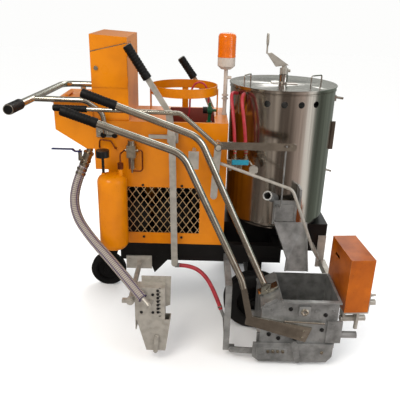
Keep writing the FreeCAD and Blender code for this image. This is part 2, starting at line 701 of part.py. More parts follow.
def bead_hopper_lid():
    """Flat lid hinged beside the body."""
    x0 = BODY_REAR_X - HOPPER_LEN
    hinge_x, hinge_z = lid_hinge()
    lid = box(x0 - 6, hinge_x, HOPPER_NEAR_Y - 6, HOPPER_FAR_Y + 6, HOPPER_TOP + GAP, HOPPER_TOP + 3)
    lid = lid.fuse(rod((hinge_x, HOPPER_NEAR_Y, hinge_z), (hinge_x, HOPPER_FAR_Y, hinge_z), BARREL_R))
    handle = box(x0 + 20, x0 + 36, -20, 70, HOPPER_TOP + 3, HOPPER_TOP + 13)
    handle = handle.cut(box(x0 + 19, x0 + 37, -8, 58, HOPPER_TOP + 3, HOPPER_TOP + 8))
    return lid.fuse(handle).removeSplitter()


def ball_valve():
    """Ball valve and hose tail under the hopper's outlet."""
    top = (BODY_REAR_X - 28, VALVE_Y, HOPPER_BASE_Z)
    knee = (BODY_REAR_X - 32, VALVE_Y, HOPPER_BASE_Z - 20)
    end = BEAD_HOSE[0]
    body_a = toward(knee, end, 16)
    body_b = toward(knee, end, 46)
    pieces = [
        rod(top, knee, 15), rod(knee, end, 13), rod(body_a, body_b, VALVE_R + 4),
        rod(toward(knee, end, 8), toward(knee, end, 16), VALVE_R + 7),
        rod(toward(knee, end, 46), toward(knee, end, 54), VALVE_R + 7),
        rod(toward(end, knee, 12), toward(end, knee, 0), BEAD_HOSE_D / 2 + 1),
    ]
    sx, sz = VALVE_STEM
    pieces.append(rod((sx, VALVE_Y, sz - 30), (sx, VALVE_Y, sz - GAP), 9))
    pieces.append(rod((sx, VALVE_Y, sz - GAP), (sx, VALVE_Y, sz + 12), 5))
    pieces.append(box(sx - 8, sx + 24, VALVE_Y - 8, VALVE_Y + 8, sz - 40, sz - 24))
    return fused(pieces)


def ball_valve_lever():
    """Quarter-turn lever of the ball valve."""
    sx, sz = VALVE_STEM
    hub = box(sx - 22, sx + 10, VALVE_Y - 9, VALVE_Y + 9, sz, sz + 4)
    ramp = plate([(sx - 22, sz), (sx - 22, sz + 4), (sx - 32, sz + 14), (sx - 36, sz + 10)],
                 VALVE_Y - 9, VALVE_Y + 9)
    blade = box(sx - 128, sx - 32, VALVE_Y - 9, VALVE_Y + 9, sz + 10, sz + 14)
    lever = fused([hub, ramp, blade])
    return lever.cut(rod((sx, VALVE_Y, sz - 1), (sx, VALVE_Y, sz + 20), 5 + RUN_FIT))


def dispenser_arm():
    """Bolted plate and round arm that hold the dispenser out from the rail."""
    y = NEAR_RAIL_Y
    foot = box(ARM_X - 66, ARM_X + 58, y - 8, y, ARM_Z - 34, ARM_Z + 34)
    arm = rod((ARM_X, y - 8, ARM_Z), (ARM_X, DISP_NEAR_Y - 30, ARM_Z), 12)
    clamp = drum((ARM_X, DISP_NEAR_Y - 12, ARM_Z), "y", 16, 26)
    ear = box(ARM_X - 36, ARM_X, DISP_NEAR_Y - 22, DISP_NEAR_Y - 2, ARM_Z - 7, ARM_Z + 7)
    tie = box(ARM_X, DISP_X0 - 5, DISP_NEAR_Y - 2, DISP_NEAR_Y + 20, ARM_Z - 16, ARM_Z + 16)
    bolts = [bolt(x, ARM_Z + 14, y - 8, 7, 6) for x in (ARM_X - 50, ARM_X + 44)]
    return fused([foot, arm, clamp, ear, tie] + bolts)


def bead_dispenser():
    """Folded steel box with metering holes, a hose spout and a funnel."""
    y0, y1 = DISP_NEAR_Y, DISP_NEAR_Y + DISP_DEPTH
    case = box(DISP_X0, DISP_X1, y0, y1, DISP_Z0, DISP_Z1)
    case = case.cut(box(DISP_X0 + 3, DISP_X1 - 3, y0 + 3, y1 - 3, DISP_Z0 - 1, DISP_Z1 - 3))
    back = plate([(DISP_X0 + 20, DISP_Z1 + 28), (DISP_X1 + 24, DISP_Z1 + 28), (DISP_X1 + 20, DISP_Z0 + 44),
                  (DISP_X1, DISP_Z0 + 36), (DISP_X1, DISP_Z0), (DISP_X0 + 20, DISP_Z0)], y1, y1 + 4)
    cheek = box(DISP_X0 - 5, DISP_X0, y0, y1 + 4, DISP_Z0 - 54, DISP_Z1 - 44)
    x2, x3 = DISP_X1 + 24, DISP_X0 + 42
    funnel = plate([(DISP_X0, DISP_Z0), (x2, DISP_Z0), (x2 - 22, CHUTE_Z0), (x3, CHUTE_Z0)], y0, y1)
    inner = plate([(DISP_X0 + 6, DISP_Z0 + 1), (x2 - 4, DISP_Z0 + 1), (x2 - 25, CHUTE_Z0 - 1),
                   (x3 + 3, CHUTE_Z0 - 1)], y0 + 3, y1 - 3)
    spout_end = toward(BEAD_HOSE[-1], BEAD_HOSE[-2], -44)
    spout = rod(BEAD_HOSE[-1], spout_end, 11)
    elbow = rod(spout_end, (spout_end[0] + 4, y0, spout_end[2] - 10), 11)
    solid = fused([case, back, cheek, funnel.cut(inner)])
    for n in range(8):
        z = DISP_Z0 + 18 + 20 * n
        solid = solid.cut(rod((DISP_X1 - 22, y0 - 1, z), (DISP_X1 - 22, y0 + 3.5, z), 4))
    gate_x, gate_z = DISP_GATE
    solid = solid.cut(rod((gate_x, y0 - 1, gate_z), (gate_x, y1 + 1, gate_z), 5 + RUN_FIT))
    return fused([solid, spout, elbow])


def dispenser_gate():
    """Funnel flap on a cross pin, worked by the link outside."""
    x, z = DISP_GATE
    y0, y1 = DISP_NEAR_Y, DISP_NEAR_Y + DISP_DEPTH
    pin = rod((x, y0 - 12, z), (x, y1 + 6, z), 5)
    flap = box(x - 16, x + 16, y0 + 4, y1 - 4, z - 2, z + 2)
    link = bar((x, z), (x - 6, z - 74), 20, y0 - 10, y0 - 4)
    stud = rod((x - 6, y0 - 16, z - 74), (x - 6, y0 - 10, z - 74), 7)
    cap = rod((x, y0 - 16, z), (x, y0 - 10, z), 7)
    return fused([pin, flap, link, stud, cap])


# ---- compressed air ---------------------------------------------------------------
def air_tank():
    """Welded air receiver on two brackets, with a neck for the outlet elbow."""
    dome = 34.0
    tank = rod((TANK_X, TANK_Y, TANK_Z0), (TANK_X, TANK_Y, TANK_Z1), TANK_R)
    tank = tank.makeFillet(dome, [e for e in tank.Edges if len(e.Vertexes) == 1])
    for z in (TANK_Z0 + 80, TANK_Z1 - 80):
        tank = tank.fuse(box(TANK_X - 24, TANK_X + 24, TANK_Y, BODY_NEAR_Y, z - 14, z + 14))
    neck = rod((TANK_X + 40, TANK_Y, TANK_Z1 - 30), (TANK_X + 40, TANK_Y, TANK_Z1 + 26), 10)
    stub = rod((TANK_X - 36, TANK_Y, TANK_Z1 - 30), (TANK_X - 36, TANK_Y, TANK_Z1 + 6), 9)
    return fused([tank, neck, stub])


def pressure_gauge():
    """Dial gauge facing up on its stem."""
    x, z = TANK_X - 36, TANK_Z1 + 6
    stem = rod((x, TANK_Y, z), (x, TANK_Y, z + 72), 6)
    case = rod((x, TANK_Y, z + 72), (x, TANK_Y, z + 102), 29)
    return stem.fuse(case).removeSplitter()


def air_regulator():
    """Filter and pressure regulator on the body's near face."""
    y = BODY_NEAR_Y - 24
    block = box(FRL_X - 20, FRL_X + 20, BODY_NEAR_Y - 44, BODY_NEAR_Y - 4, FRL_Z - 30, FRL_Z + 26)
    foot = box(FRL_X - 12, FRL_X + 12, BODY_NEAR_Y - 4, BODY_NEAR_Y, FRL_Z - 20, FRL_Z + 20)
    cap = rod((FRL_X, y, FRL_Z + 26), (FRL_X, y, FRL_Z + 46), 16)
    bowl = rod((FRL_X, y, FRL_Z - 84), (FRL_X, y, FRL_Z - 30), 15)
    drain = rod((FRL_X, y, FRL_Z - 104), (FRL_X, y, FRL_Z - 84), 5)
    ports = rod((FRL_X - 30, y, FRL_Z), (FRL_X + 30, y, FRL_Z), 7)
    return fused([block, foot, cap, bowl, drain, ports])


def air_lines():
    """Bent copper lines and the elbow between tank, gauge and regulator."""
    y = BODY_NEAR_Y - 24
    elbow = rod((TANK_X + 40, TANK_Y, TANK_Z1 + 26), (TANK_X + 40, TANK_Y, TANK_Z1 + 52), 13)
    feed = swept([(TANK_X + 40, TANK_Y, TANK_Z1 + 52), (TANK_X + 40, TANK_Y, FRL_Z), (FRL_X - 30, y, FRL_Z)],
                 3.5, radius=12)
    drop = swept([(FRL_X + 30, y, FRL_Z), (FRL_X + 48, y, FRL_Z), (FRL_X + 48, y, FRL_Z - 96),
                  (FRL_X + 5, y, FRL_Z - 96)], 3.5, radius=14)
    loop = swept([(TANK_X - 62, BODY_NEAR_Y, 905), (TANK_X - 62, BODY_NEAR_Y - 14, 905),
                  (TANK_X - 58, BODY_NEAR_Y - 16, 945), (TANK_X - 8, BODY_NEAR_Y - 16, 938),
                  (TANK_X + 10, BODY_NEAR_Y - 14, 902), (TANK_X + 10, BODY_NEAR_Y, 902)], 3.5, radius=10)
    return group([elbow.fuse(feed), drop, loop])


# ---- handlebar --------------------------------------------------------------------
def handlebar():
    """Push bar bent from one tube, its near stay and the two bolted foot plates."""
    fx, fz = BAR_FOOT
    far_foot_y = BODY_FAR_Y + 8 + STAY_R - 2
    near_foot_y = BODY_NEAR_Y - 8 - STAY_R + 2
    far_end = [(fx - 30, BAR_FAR_Y, BAR_FAR_Z), (fx, far_foot_y, fz + 70), (fx, far_foot_y, fz)]
    main = swept(BAR_PATH + far_end,
                 BAR_R, BAR_R - 2.5, radius=55)
    stay_z = BAR_NEAR_Z - 9
    stay = swept([(BAR_X, STAY_Y, stay_z), (fx - 80, STAY_Y, stay_z - 3), (fx - 10, STAY_Y + 8, fz + 95),
                  (fx, near_foot_y, fz)], STAY_R, STAY_R - 2.5, radius=60)
    stay = stay.cut(rod(BAR_PATH[0], BAR_PATH[1], BAR_R - 1))
    feet = [box(fx - 46, fx + 46, BODY_NEAR_Y - 8, BODY_NEAR_Y, fz - 22, fz + 22),
            box(fx - 46, fx + 46, BODY_FAR_Y, BODY_FAR_Y + 8, fz - 22, fz + 22)]
    bolts = [bolt(x, fz - 4, BODY_NEAR_Y - 8, 7, 6) for x in (fx - 32, fx + 30)]
    tx, tz = THROTTLE
    clamp = box(tx - 12, tx + 12, BAR_FAR_Y - 9, BAR_FAR_Y + 9, tz - 8, BAR_FAR_Z - BAR_R + 3)
    pin = rod((tx, BAR_FAR_Y - 17, tz), (tx, BAR_FAR_Y - 9, tz), 4)
    return fused([main, stay, clamp, pin] + feet + bolts)


def throttle_lever():
    """Thumb lever under the push bar."""
    tx, tz = THROTTLE
    y1 = BAR_FAR_Y - 9 - GAP
    return bar((tx, tz), (tx - 30, tz - 34), 12, y1 - 6, y1, eye=4 + RUN_FIT)


# ---- levers -----------------------------------------------------------------------
def gate_lever():
    """Long tube that opens the shoe's rear cover, with its angle foot."""
    gx, gz = GATE_PIVOT
    tube = swept(xz(GATE_LEVER, GATE_LEVER_Y), LEVER_R, LEVER_R - LEVER_WALL, LEVER_BEND)
    foot = box(gx - 26, gx + 14, GATE_LEVER_Y - 24, GATE_LEVER_Y - 16, gz - 26, gz + 42)
    sole = rear_cover_slab(14.0, 22.0, GATE_LEVER_Y - 24, GATE_LEVER_Y + 20)
    tube = tube.cut(rear_cover_slab(-60.0, 16.0, GATE_LEVER_Y - 60, GATE_LEVER_Y + 60))
    foot = foot.cut(rear_cover_slab(-60.0, 16.0, GATE_LEVER_Y - 60, GATE_LEVER_Y + 60))
    post = rear_cover_slab(SHOE_T, 14.0, GATE_LEVER_Y - 20, GATE_LEVER_Y + 16, inset=20.0)
    return fused([tube, foot, sole, post, bolt(gx - 2, gz + 4, GATE_LEVER_Y - 24, 7, 5)])


def rear_cover_slab(low, high, y0, y1, inset=0.0):
    """Slab parallel to the shoe's sloping rear cover, between two heights above it."""
    x0, z0 = SHOE_X0, SHOE_SHOULDER
    x1, z1 = SHOE_MOUTH_X, SHOE_TOP
    run = math.hypot(x1 - x0, z1 - z0)
    ux, uz = (x1 - x0) / run, (z1 - z0) / run
    def at(along, up):
        return (x0 + ux * along - uz * up, z0 + uz * along + ux * up)
    a, b = inset, run - inset
    return plate([at(a, low), at(b, low), at(b, high), at(a, high)], y0, y1)


def shoe_cover():
    """Sloping rear cover of the shoe on its hinge tube, with the gate blade it swings."""
    x, z = cover_hinge()
    inner_near = SHOE_NEAR_Y + SHOE_T + GAP
    inner_far = SHOE_FAR_Y - SHOE_T - GAP
    cover = rear_cover_slab(0.0, SHOE_T, SHOE_NEAR_Y + 1, SHOE_FAR_Y - 1, inset=2.0)
    lip = rear_cover_slab(SHOE_T, SHOE_T + 12, SHOE_NEAR_Y + 1, SHOE_NEAR_Y + 4, inset=16.0)
    cover = cover.fuse(lip)
    for ear in hinge_ears(HINGE_EAR_R + GAP):
        cover = cover.cut(ear)
    pieces = [cover, rod((x, inner_near, z), (x, inner_far, z), HINGE_PIN_R + 3)]
    arm = [(x - 2, z + 4), (x + 9, z - 8), (x + 20, z - 54), (GATE_X0, BLADE_Z + 6), (GATE_X1, BLADE_Z + 6),
           (x + 42, z - 44), (x + 22, z + 10)]
    for y in (inner_near, inner_far - 4):
        pieces.append(plate(arm, y, y + 4))
    pieces.append(box(GATE_X0, GATE_X1, inner_near, inner_far, BLADE_Z, BLADE_Z + 6))
    return fused(pieces).cut(rod((x, SHOE_NEAR_Y, z), (x, SHOE_FAR_Y, z), HINGE_PIN_R + RUN_FIT))


def shoe_arm():
    """Lifting lever's post, flat arm, lower link and clamp of the shoe."""
    y0, y1 = SHOE_NEAR_Y - 10, SHOE_NEAR_Y
    lever = swept(xz(SHOE_LEVER, SHOE_LEVER_Y), LEVER_R, LEVER_R - LEVER_WALL, LEVER_BEND)
    post = plate([(161, 404), (187, 404), (222, 250), (196, 240)], y0, y1)
    arm = plate([(196, 257), (206, 259), (486, 203), (463, 128), (191, 215)], y0, y1)
    clamp = box(SHOE_X1 - 44, SHOE_X1 + 22, y0, y1, 128, 240)
    shaft = rod((SHOE_X1, SHOE_NEAR_Y + 12, 160), (SHOE_X1 + 94, SHOE_NEAR_Y + 12, 160), 15)
    shoulder = box(SHOE_X1, SHOE_X1 + 12, y1, SHOE_NEAR_Y + 30, 136, 184)
    px, pz = SHOE_PIVOT
    link_y = SHOE_LEVER_Y + 30
    link = bar((px, pz), (SHOE_X0 + 20, pz - 6), 30, link_y - 8, link_y, eye=PIN_R + RUN_FIT)
    ear = box(SHOE_X0 - 12, SHOE_X0, link_y - 8, link_y, pz - 6, SHOE_BASE + 60)
    bolts = [bolt(x, z, y0, 6, 5) for x, z in ((452, 186), (446, 150), (SHOE_X1 - 20, 222))]
    lever = fused([lever, post, arm] + bolts[:2])
    clamp = fused([clamp, shaft, shoulder, bolts[2]])
    return lever, clamp, link.fuse(ear).removeSplitter()


def outlet_lever():
    """Tube lever with the flat link that works the kettle outlet's pull rod."""
    px, pz = OUTLET_PIVOT
    y_link = OUTLET_LEVER_Y + 12
    tube = swept(xz(OUTLET_LEVER, OUTLET_LEVER_Y), OUTLET_TUBE_R, OUTLET_TUBE_R - 2, 45)
    boss = rod((px, OUTLET_LEVER_Y - 12, pz), (px, y_link + 8, pz), 17)
    tube = tube.cut(rod((px, OUTLET_LEVER_Y - 12, pz), (px, y_link + 8, pz), 12))
    link = bar((px, pz + 2), (px + LINK_LEN, pz + 2), LINK_W, y_link, y_link + 8)
    slot = bar((ROD_X - 8, pz + 6), (ROD_X + 8, pz + 6), 2 * (4 + GAP), y_link - 1, y_link + 9)
    end_bolt = bolt(px + LINK_LEN - 2, pz + 2, y_link, 6, 5)
    solid = fused([tube, boss, link, end_bolt]).cut(slot)
    return solid.cut(rod((px, OUTLET_LEVER_Y - 20, pz), (px, y_link + 20, pz), PIN_R + RUN_FIT))


def lever_brackets():
    """Pivot bracket of the outlet lever, pivot blocks of the drive and brake levers,
    and the rest for the long levers, all bolted to the body."""
    px, pz = OUTLET_PIVOT
    y_bar = OUTLET_LEVER_Y + 22
    strap = bar((px, pz), (px - 12, pz - 237), 31, y_bar, y_bar + 8)
    pivot = rod((px, OUTLET_LEVER_Y - 16, pz), (px, y_bar, pz), PIN_R)
    standoff = rod((px - 12, y_bar + 8, pz - 237), (px - 12, BODY_NEAR_Y, pz - 237), 10)
    upper = rod((px, y_bar + 8, pz), (px, BODY_NEAR_Y, pz), 10)
    head = rod((px, OUTLET_LEVER_Y - 20, pz), (px, OUTLET_LEVER_Y - 12 - GAP, pz), 11)
    outlet = fused([strap, pivot, standoff, upper, head])
    dx, dz = DRIVE_PIVOT
    block = box(dx - 22, dx + 26, BODY_NEAR_Y - 30, BODY_NEAR_Y, dz - 26, dz + 22)
    pin = rod((dx, BODY_NEAR_Y - 54, dz), (dx, BODY_NEAR_Y - 30, dz), PIN_R)
    arm = box(dx - 105, dx - 22, BODY_NEAR_Y - 16, BODY_NEAR_Y, dz - 12, dz + 4)
    drive = fused([block, pin, arm])
    bx, bz = BRAKE_PIVOT
    base = box(bx - 20, bx + 20, BODY_FAR_Y, BRAKE_Y - 5, bz - 20, bz + 20)
    stud = rod((bx, BRAKE_Y - 5, bz), (bx, BRAKE_Y + 8, bz), PIN_R)
    brake = base.fuse(stud).removeSplitter()
    rest_arm = rod((-52, BODY_NEAR_Y, 905), (-52, -256, 905), 9)
    rest_plate = box(-74, -30, -262, -254, 852, 930)
    knob = rod((-77, BODY_NEAR_Y - 22, 980), (-77, BODY_NEAR_Y, 980), 14)
    return group([outlet, drive, brake, rest_arm.fuse(rest_plate).removeSplitter(), knob])


def flat_lever(pivot, knee, top, y, width):
    """Flat bar lever with a knee and an eye at its pivot."""
    y0, y1 = y - BAR_T / 2, y + BAR_T / 2
    lower = bar(pivot, knee, width, y0, y1)
    upper = bar(knee, top, width - 6, y0, y1)
    return lower, upper


def drive_lever():
    """Bell crank of flat bar that engages the drive."""
    y = BODY_NEAR_Y - 42
    lower, upper = flat_lever(DRIVE_PIVOT, DRIVE_KNEE, DRIVE_TOP, y, 30)
    leg = bar(DRIVE_PIVOT, DRIVE_FOOT, 30, y - BAR_T / 2, y + BAR_T / 2)
    boss = drum((DRIVE_PIVOT[0], y, DRIVE_PIVOT[1]), "y", 19, 14)
    bore = drum((DRIVE_PIVOT[0], y, DRIVE_PIVOT[1]), "y", PIN_R + RUN_FIT, 40)
    grip = bar_grip(DRIVE_TOP, DRIVE_KNEE, y, upper)
    return fused([lower, upper, leg, boss]).cut(bore), grip


def brake_lever():
    """Flat bar lever of the parking brake."""
    lower, upper = flat_lever(BRAKE_PIVOT, BRAKE_KNEE, BRAKE_TOP, BRAKE_Y, 26)
    bore = drum((BRAKE_PIVOT[0], BRAKE_Y, BRAKE_PIVOT[1]), "y", PIN_R + RUN_FIT, 40)
    grip = bar_grip(BRAKE_TOP, BRAKE_KNEE, BRAKE_Y, upper, 96)
    return fused([lower, upper]).cut(bore), grip


def bar_grip(top, knee, y, blade, length=GRIP_LEN):
    """Round rubber grip pushed over a flat bar."""
    a = (top[0], y, top[1])
    b = (knee[0], y, knee[1])
    outer = rod(toward(a, b, -18), toward(a, b, length), 17)
    return outer.cut(blade)


# ---- beacon -----------------------------------------------------------------------
def beacon():
    """Pole with its clamps, lamp base, and the lens."""
    foot = rod((BEACON_X, BEACON_Y, BODY_TOP), (BEACON_X, BEACON_Y, BODY_TOP + 6), 12.5)
    pole = rod((BEACON_X, BEACON_Y, BODY_TOP), (BEACON_X, BEACON_Y, BEACON_BASE_Z), 9)
    rings = [drum((BEACON_X, BEACON_Y, z), "z", 15, 6) for z in (1102, 1118)]
    knob = rod((BEACON_X + 4, BEACON_Y, 1198), (BEACON_X + 26, BEACON_Y, 1198), 7)
    base = Part.makeCone(24, BEACON_R - 1, 14, V(BEACON_X, BEACON_Y, BEACON_BASE_Z))
    lens_z = BEACON_BASE_Z + 53
    drum_wall = rod((BEACON_X, BEACON_Y, BEACON_BASE_Z + 14), (BEACON_X, BEACON_Y, lens_z), BEACON_R - 1)
    base = base.fuse(drum_wall)
    lens = rod((BEACON_X, BEACON_Y, lens_z), (BEACON_X, BEACON_Y, BEACON_TOP), BEACON_R)
    crown = [e for e in lens.Edges if len(e.Vertexes) == 1 and e.BoundBox.ZMin > BEACON_TOP - 1]
    lens = lens.makeFillet(12, crown)
    inside = rod((BEACON_X, BEACON_Y, BEACON_BASE_Z + 52), (BEACON_X, BEACON_Y, BEACON_TOP - 5), BEACON_R - 3)
    return fused([foot, pole, knob, base] + rings), lens.cut(inside)


# ---- kettle -----------------------------------------------------------------------
def kettle_axis(z):
    """Point on the kettle's axis at this height."""
    return (KETTLE_X, MID_Y, z)


def kettle_jacket():
    """Stainless outer jacket with vent holes, hose elbows, latch and handle."""
    outer = rod(kettle_axis(KETTLE_Z0), kettle_axis(KETTLE_TOP), KETTLE_R)
    rim = [e for e in outer.Edges if len(e.Vertexes) == 1 and e.BoundBox.ZMax < KETTLE_Z0 + 1]
    outer = outer.makeFillet(42, rim)
    inner = rod(kettle_axis(KETTLE_Z0 + JACKET_T), kettle_axis(KETTLE_TOP + 1), KETTLE_R - JACKET_T)
    rim = [e for e in inner.Edges if len(e.Vertexes) == 1 and e.BoundBox.ZMax < KETTLE_Z0 + 5]
    shell = outer.cut(inner.makeFillet(42 - JACKET_T, rim))
    for angle in VENT_ANGLES:
        a = math.radians(angle)
        end = (KETTLE_X + 300 * math.sin(a), MID_Y - 300 * math.cos(a), VENT_Z)
        shell = shell.cut(rod(kettle_axis(VENT_Z), end, VENT_R))
    stubs = [rod(hose[-1], kettle_axis(hose[-1][2]), 6).cut(outer) for hose in GAS_HOSES]
    latch = rod((KETTLE_X + 240, MID_Y, 1108), (KETTLE_X + KETTLE_R + 48, MID_Y, 1100), 6).cut(outer)
    edge_x = KETTLE_X + KETTLE_R
    latch = latch.fuse(box(edge_x - 2, edge_x + 12, MID_Y - 14, MID_Y + 14, 1088, 1116).cut(outer))
    handle_x = KETTLE_X + 236
    handle = box(handle_x, handle_x + 18, 54, 66, 868, 1004).cut(outer)
    hook = rod((KETTLE_X + 238, 80, 756), (KETTLE_X + KETTLE_R + 18, 80, 748), 5).cut(outer)
    return fused([shell.cut(outlet_port(OUTLET_R + 8)), latch, handle, hook] + stubs)


def kettle_pot():
    """Inner melting pot hung from its rim ring."""
    outer = rod(kettle_axis(POT_Z0), kettle_axis(KETTLE_TOP), POT_R)
    inner = rod(kettle_axis(POT_Z0 + 6), kettle_axis(KETTLE_TOP + 1), POT_R - 4)
    rim = drum(kettle_axis(KETTLE_TOP - 4), "z", KETTLE_R - JACKET_T, 8, POT_R - 1)
    return fused([outer.cut(inner).cut(outlet_port(OUTLET_R)), rim])


def kettle_top():
    """Fixed rear half of the lid with the stirrer's bearing."""
    disc = rod(kettle_axis(KETTLE_TOP), kettle_axis(KETTLE_TOP + LID_T), LID_R)
    half = disc.common(box(-1000, 1000, MID_Y - LID_SPLIT, 1000, 0, 2000))
    boss = rod(kettle_axis(KETTLE_TOP), kettle_axis(KETTLE_TOP + 44), 21)
    seat = box(KETTLE_X - 60, KETTLE_X - 8, MID_Y - 26, MID_Y + 26, KETTLE_TOP, KETTLE_TOP + LID_T + 6)
    bore = rod(kettle_axis(KETTLE_TOP - 1), kettle_axis(KETTLE_TOP + 60), SHAFT_R + RUN_FIT)
    return fused([half, boss, seat]).cut(bore)


def kettle_hinge():
    """Middle of the kettle lid's hinge, as Y and Z."""
    return MID_Y - LID_SPLIT, KETTLE_TOP + LID_T + BARREL_R + 1


def kettle_lid():
    """Hinged front half of the lid with two wire handles."""
    disc = rod(kettle_axis(KETTLE_TOP + GAP), kettle_axis(KETTLE_TOP + LID_T), LID_R)
    half = disc.common(box(-1000, 1000, -1000, MID_Y - LID_SPLIT - GAP, 0, 2000))
    top = KETTLE_TOP + LID_T
    pieces = [half]
    for x, y, turn in ((KETTLE_X - 178, MID_Y - 92, 62.0), (KETTLE_X + 143, MID_Y - 72, 40.0)):
        dx = 36 * math.cos(math.radians(turn))
        dy = 36 * math.sin(math.radians(turn))
        loop = [(x - dx, y - dy, top - 2), (x - dx, y - dy, top + 46), (x + dx, y + dy - 4, top + 46),
                (x + dx, y + dy - 4, top - 2)]
        pieces.append(swept(loop, 3.5, radius=9))
    hinge_y, hinge_z = kettle_hinge()
    hinge = rod((KETTLE_X - 60, hinge_y, hinge_z), (KETTLE_X + 60, hinge_y, hinge_z), BARREL_R)
    leaf = box(KETTLE_X - 60, KETTLE_X + 60, hinge_y - 24, hinge_y - GAP, top - 1, hinge_z)
    return fused(pieces + [hinge, leaf])


def stirrer():
    """Stirrer shaft with paddles inside and a crank with a ring on top."""
    shaft = rod(kettle_axis(POT_Z0 + 20), kettle_axis(1246), SHAFT_R)
    pieces = [shaft]
    for z, turn in ((POT_Z0 + 60, 0), (POT_Z0 + 220, 60), (POT_Z0 + 380, 120)):
        blade = box(KETTLE_X - POT_R + 30, KETTLE_X + POT_R - 30, MID_Y - 4, MID_Y + 4, z - 25, z + 25)
        blade.rotate(V(*kettle_axis(z)), AXIS["z"], turn)
        pieces.append(blade)
    collar = drum(kettle_axis(1224), "z", 20, 26)
    web = plate([(276, 1303), (300, 1305), (384, 1250), (322, 1242)], MID_Y - 9, MID_Y + 9)
    stem = rod((277, MID_Y, 1300), (277, MID_Y, 1340), 4)
    ring = drum((277, MID_Y, 1364), "x", 29, 7, 22)
    screw = rod((KETTLE_X + 18, MID_Y, 1224), (KETTLE_X + 30, MID_Y, 1224), 7)
    return fused(pieces + [collar, web, stem, ring, screw])


def outlet_valve():
    """Outlet neck and flange, sight pipe and gate guides on the kettle's near side."""
    jacket = rod(kettle_axis(KETTLE_Z0), kettle_axis(KETTLE_TOP), KETTLE_R)
    neck = rod((OUTLET_X, OUTLET_FACE_Y + 8, OUTLET_Z), (OUTLET_X, MID_Y, OUTLET_Z), OUTLET_R + 8)
    neck = neck.cut(rod(kettle_axis(KETTLE_Z0), kettle_axis(KETTLE_TOP), POT_R))
    flange = box(322, 434, OUTLET_FACE_Y, OUTLET_FACE_Y + 8, 552, 672)
    sight = rod((336, -90, 660), (284, -196, 714), 22, 16)
    bracket = box(436, 446, OUTLET_FACE_Y - 16, -90, 646, 736)
    shelf = box(428, 446, OUTLET_FACE_Y, -90, 640, 652)
    guides = []
    for x in (328, 420):
        guides.append(box(x, x + 8, OUTLET_FACE_Y - 9, OUTLET_FACE_Y, OUTLET_Z - 34, OUTLET_Z + 36))
    outside = fused([flange, sight, bracket, shelf] + guides).cut(jacket)
    return fused([outside, neck]).cut(outlet_port(OUTLET_R))


def outlet_port(radius):
    """Round passage from the pot to the outlet's flange."""
    return rod((OUTLET_X, OUTLET_FACE_Y - 1, OUTLET_Z), (OUTLET_X, MID_Y, OUTLET_Z), radius)


def outlet_gate():
    """Sliding gate plate, its pull rod and the pin in the link's slot."""
    y0 = OUTLET_FACE_Y - 6
    blade = box(OUTLET_X - 41, OUTLET_X + 41, y0, OUTLET_FACE_Y - GAP,
                OUTLET_Z - OUTLET_R - 3, OUTLET_Z + OUTLET_R + 6)
    rod_y = OUTLET_LEVER_Y + 29
    lug = box(ROD_X - 5, ROD_X + 5, rod_y - 4, y0, 644, 656)
    pz = OUTLET_PIVOT[1] + 6
    pull = rod((ROD_X, rod_y, 648), (ROD_X, rod_y, pz), 4)
    pin = rod((ROD_X, rod_y + 2, pz), (ROD_X, OUTLET_LEVER_Y + 8, pz), 4)
    return fused([blade, lug, pull, pin])


def outlet_chute():
    """Open sheet chute from the outlet down to the shoe's mouth."""
    top_y, top_z = OUTLET_FACE_Y - 1, OUTLET_Z - OUTLET_R - 9
    foot_y, foot_z = SHOE_FAR_Y - 24, SHOE_TOP + 22
    slope = V(0, foot_y - top_y, foot_z - top_z)
    normal = slope.cross(AXIS["x"]).normalize()

    def on(x, share):
        return V(x, top_y, top_z) + slope * share

    outline = [on(330, 0), on(482, 0), on(489, 1), on(385, 1), on(393, 0.74)]
    pieces = [Part.Face(Part.makePolygon(outline + outline[:1])).extrude(normal * 3)]
    for edge in ((outline[0], outline[4]), (outline[4], outline[3]), (outline[1], outline[2])):
        rise = normal * 24
        quad = [edge[0], edge[1], edge[1] + rise, edge[0] + rise, edge[0]]
        side = Part.Face(Part.makePolygon(quad))
        pieces.append(side.extrude(V(-3, 0, 0)))
        pieces.append(side.extrude(V(1, 0, 0)))
    tab = box(332, 434, OUTLET_FACE_Y - 6, OUTLET_FACE_Y, top_z - 9, top_z + 2)
    return fused(pieces + [tab])


# ---- gas --------------------------------------------------------------------------
def gas_manifold():
    """Valve body with two hose nipples on top and a bracket to the body."""
    x, y, z = MANIFOLD
    block = box(x - 40, x + 40, y - 12, y + 12, z - 12, z + 12)
    plate_ = box(BODY_FRONT_X, x - 30, y - 4, y + 8, z - 20, z + 6)
    pieces = [block, plate_]
    for hose in GAS_HOSES:
        hx, _, hz = hose[0]
        pieces.append(rod((hx, y, z), (hx, y, hz), 6))
        pieces.append(rod((hx, y, z + 12), (hx, y, z + 24), 10))
    for dx in (-46, 2):
        pieces.append(rod((x + dx, y - 2, z - 44), (x + dx, y - 2, z - 12), 9))
    pieces.append(rod((x - 46, y - 2, z - 20), (x + 10, y - 2, z - 20), 9))
    pieces.append(rod((x + 40, y, z), (x + 62, y, z - 30), 7))
    spindle = rod((x + 62, y - 16, z - 34), (x + 62, y + 6, z - 34), 5)
    return fused(pieces + [spindle])


def manifold_knob():
    """Round hand wheel on the manifold's valve spindle."""
    x, y, z = MANIFOLD
    knob = rod((x + 62, y - 22, z - 34), (x + 62, y - 10, z - 34), 21)
    for n in range(6):
        a = math.radians(60 * n)
        c = (x + 62 + 23 * math.cos(a), z - 34 + 23 * math.sin(a))
        knob = knob.cut(rod((c[0], y - 23, c[1]), (c[0], y - 9, c[1]), 5))
    return knob.cut(rod((x + 62, y - 16, z - 34), (x + 62, y, z - 34), 5 + RUN_FIT))


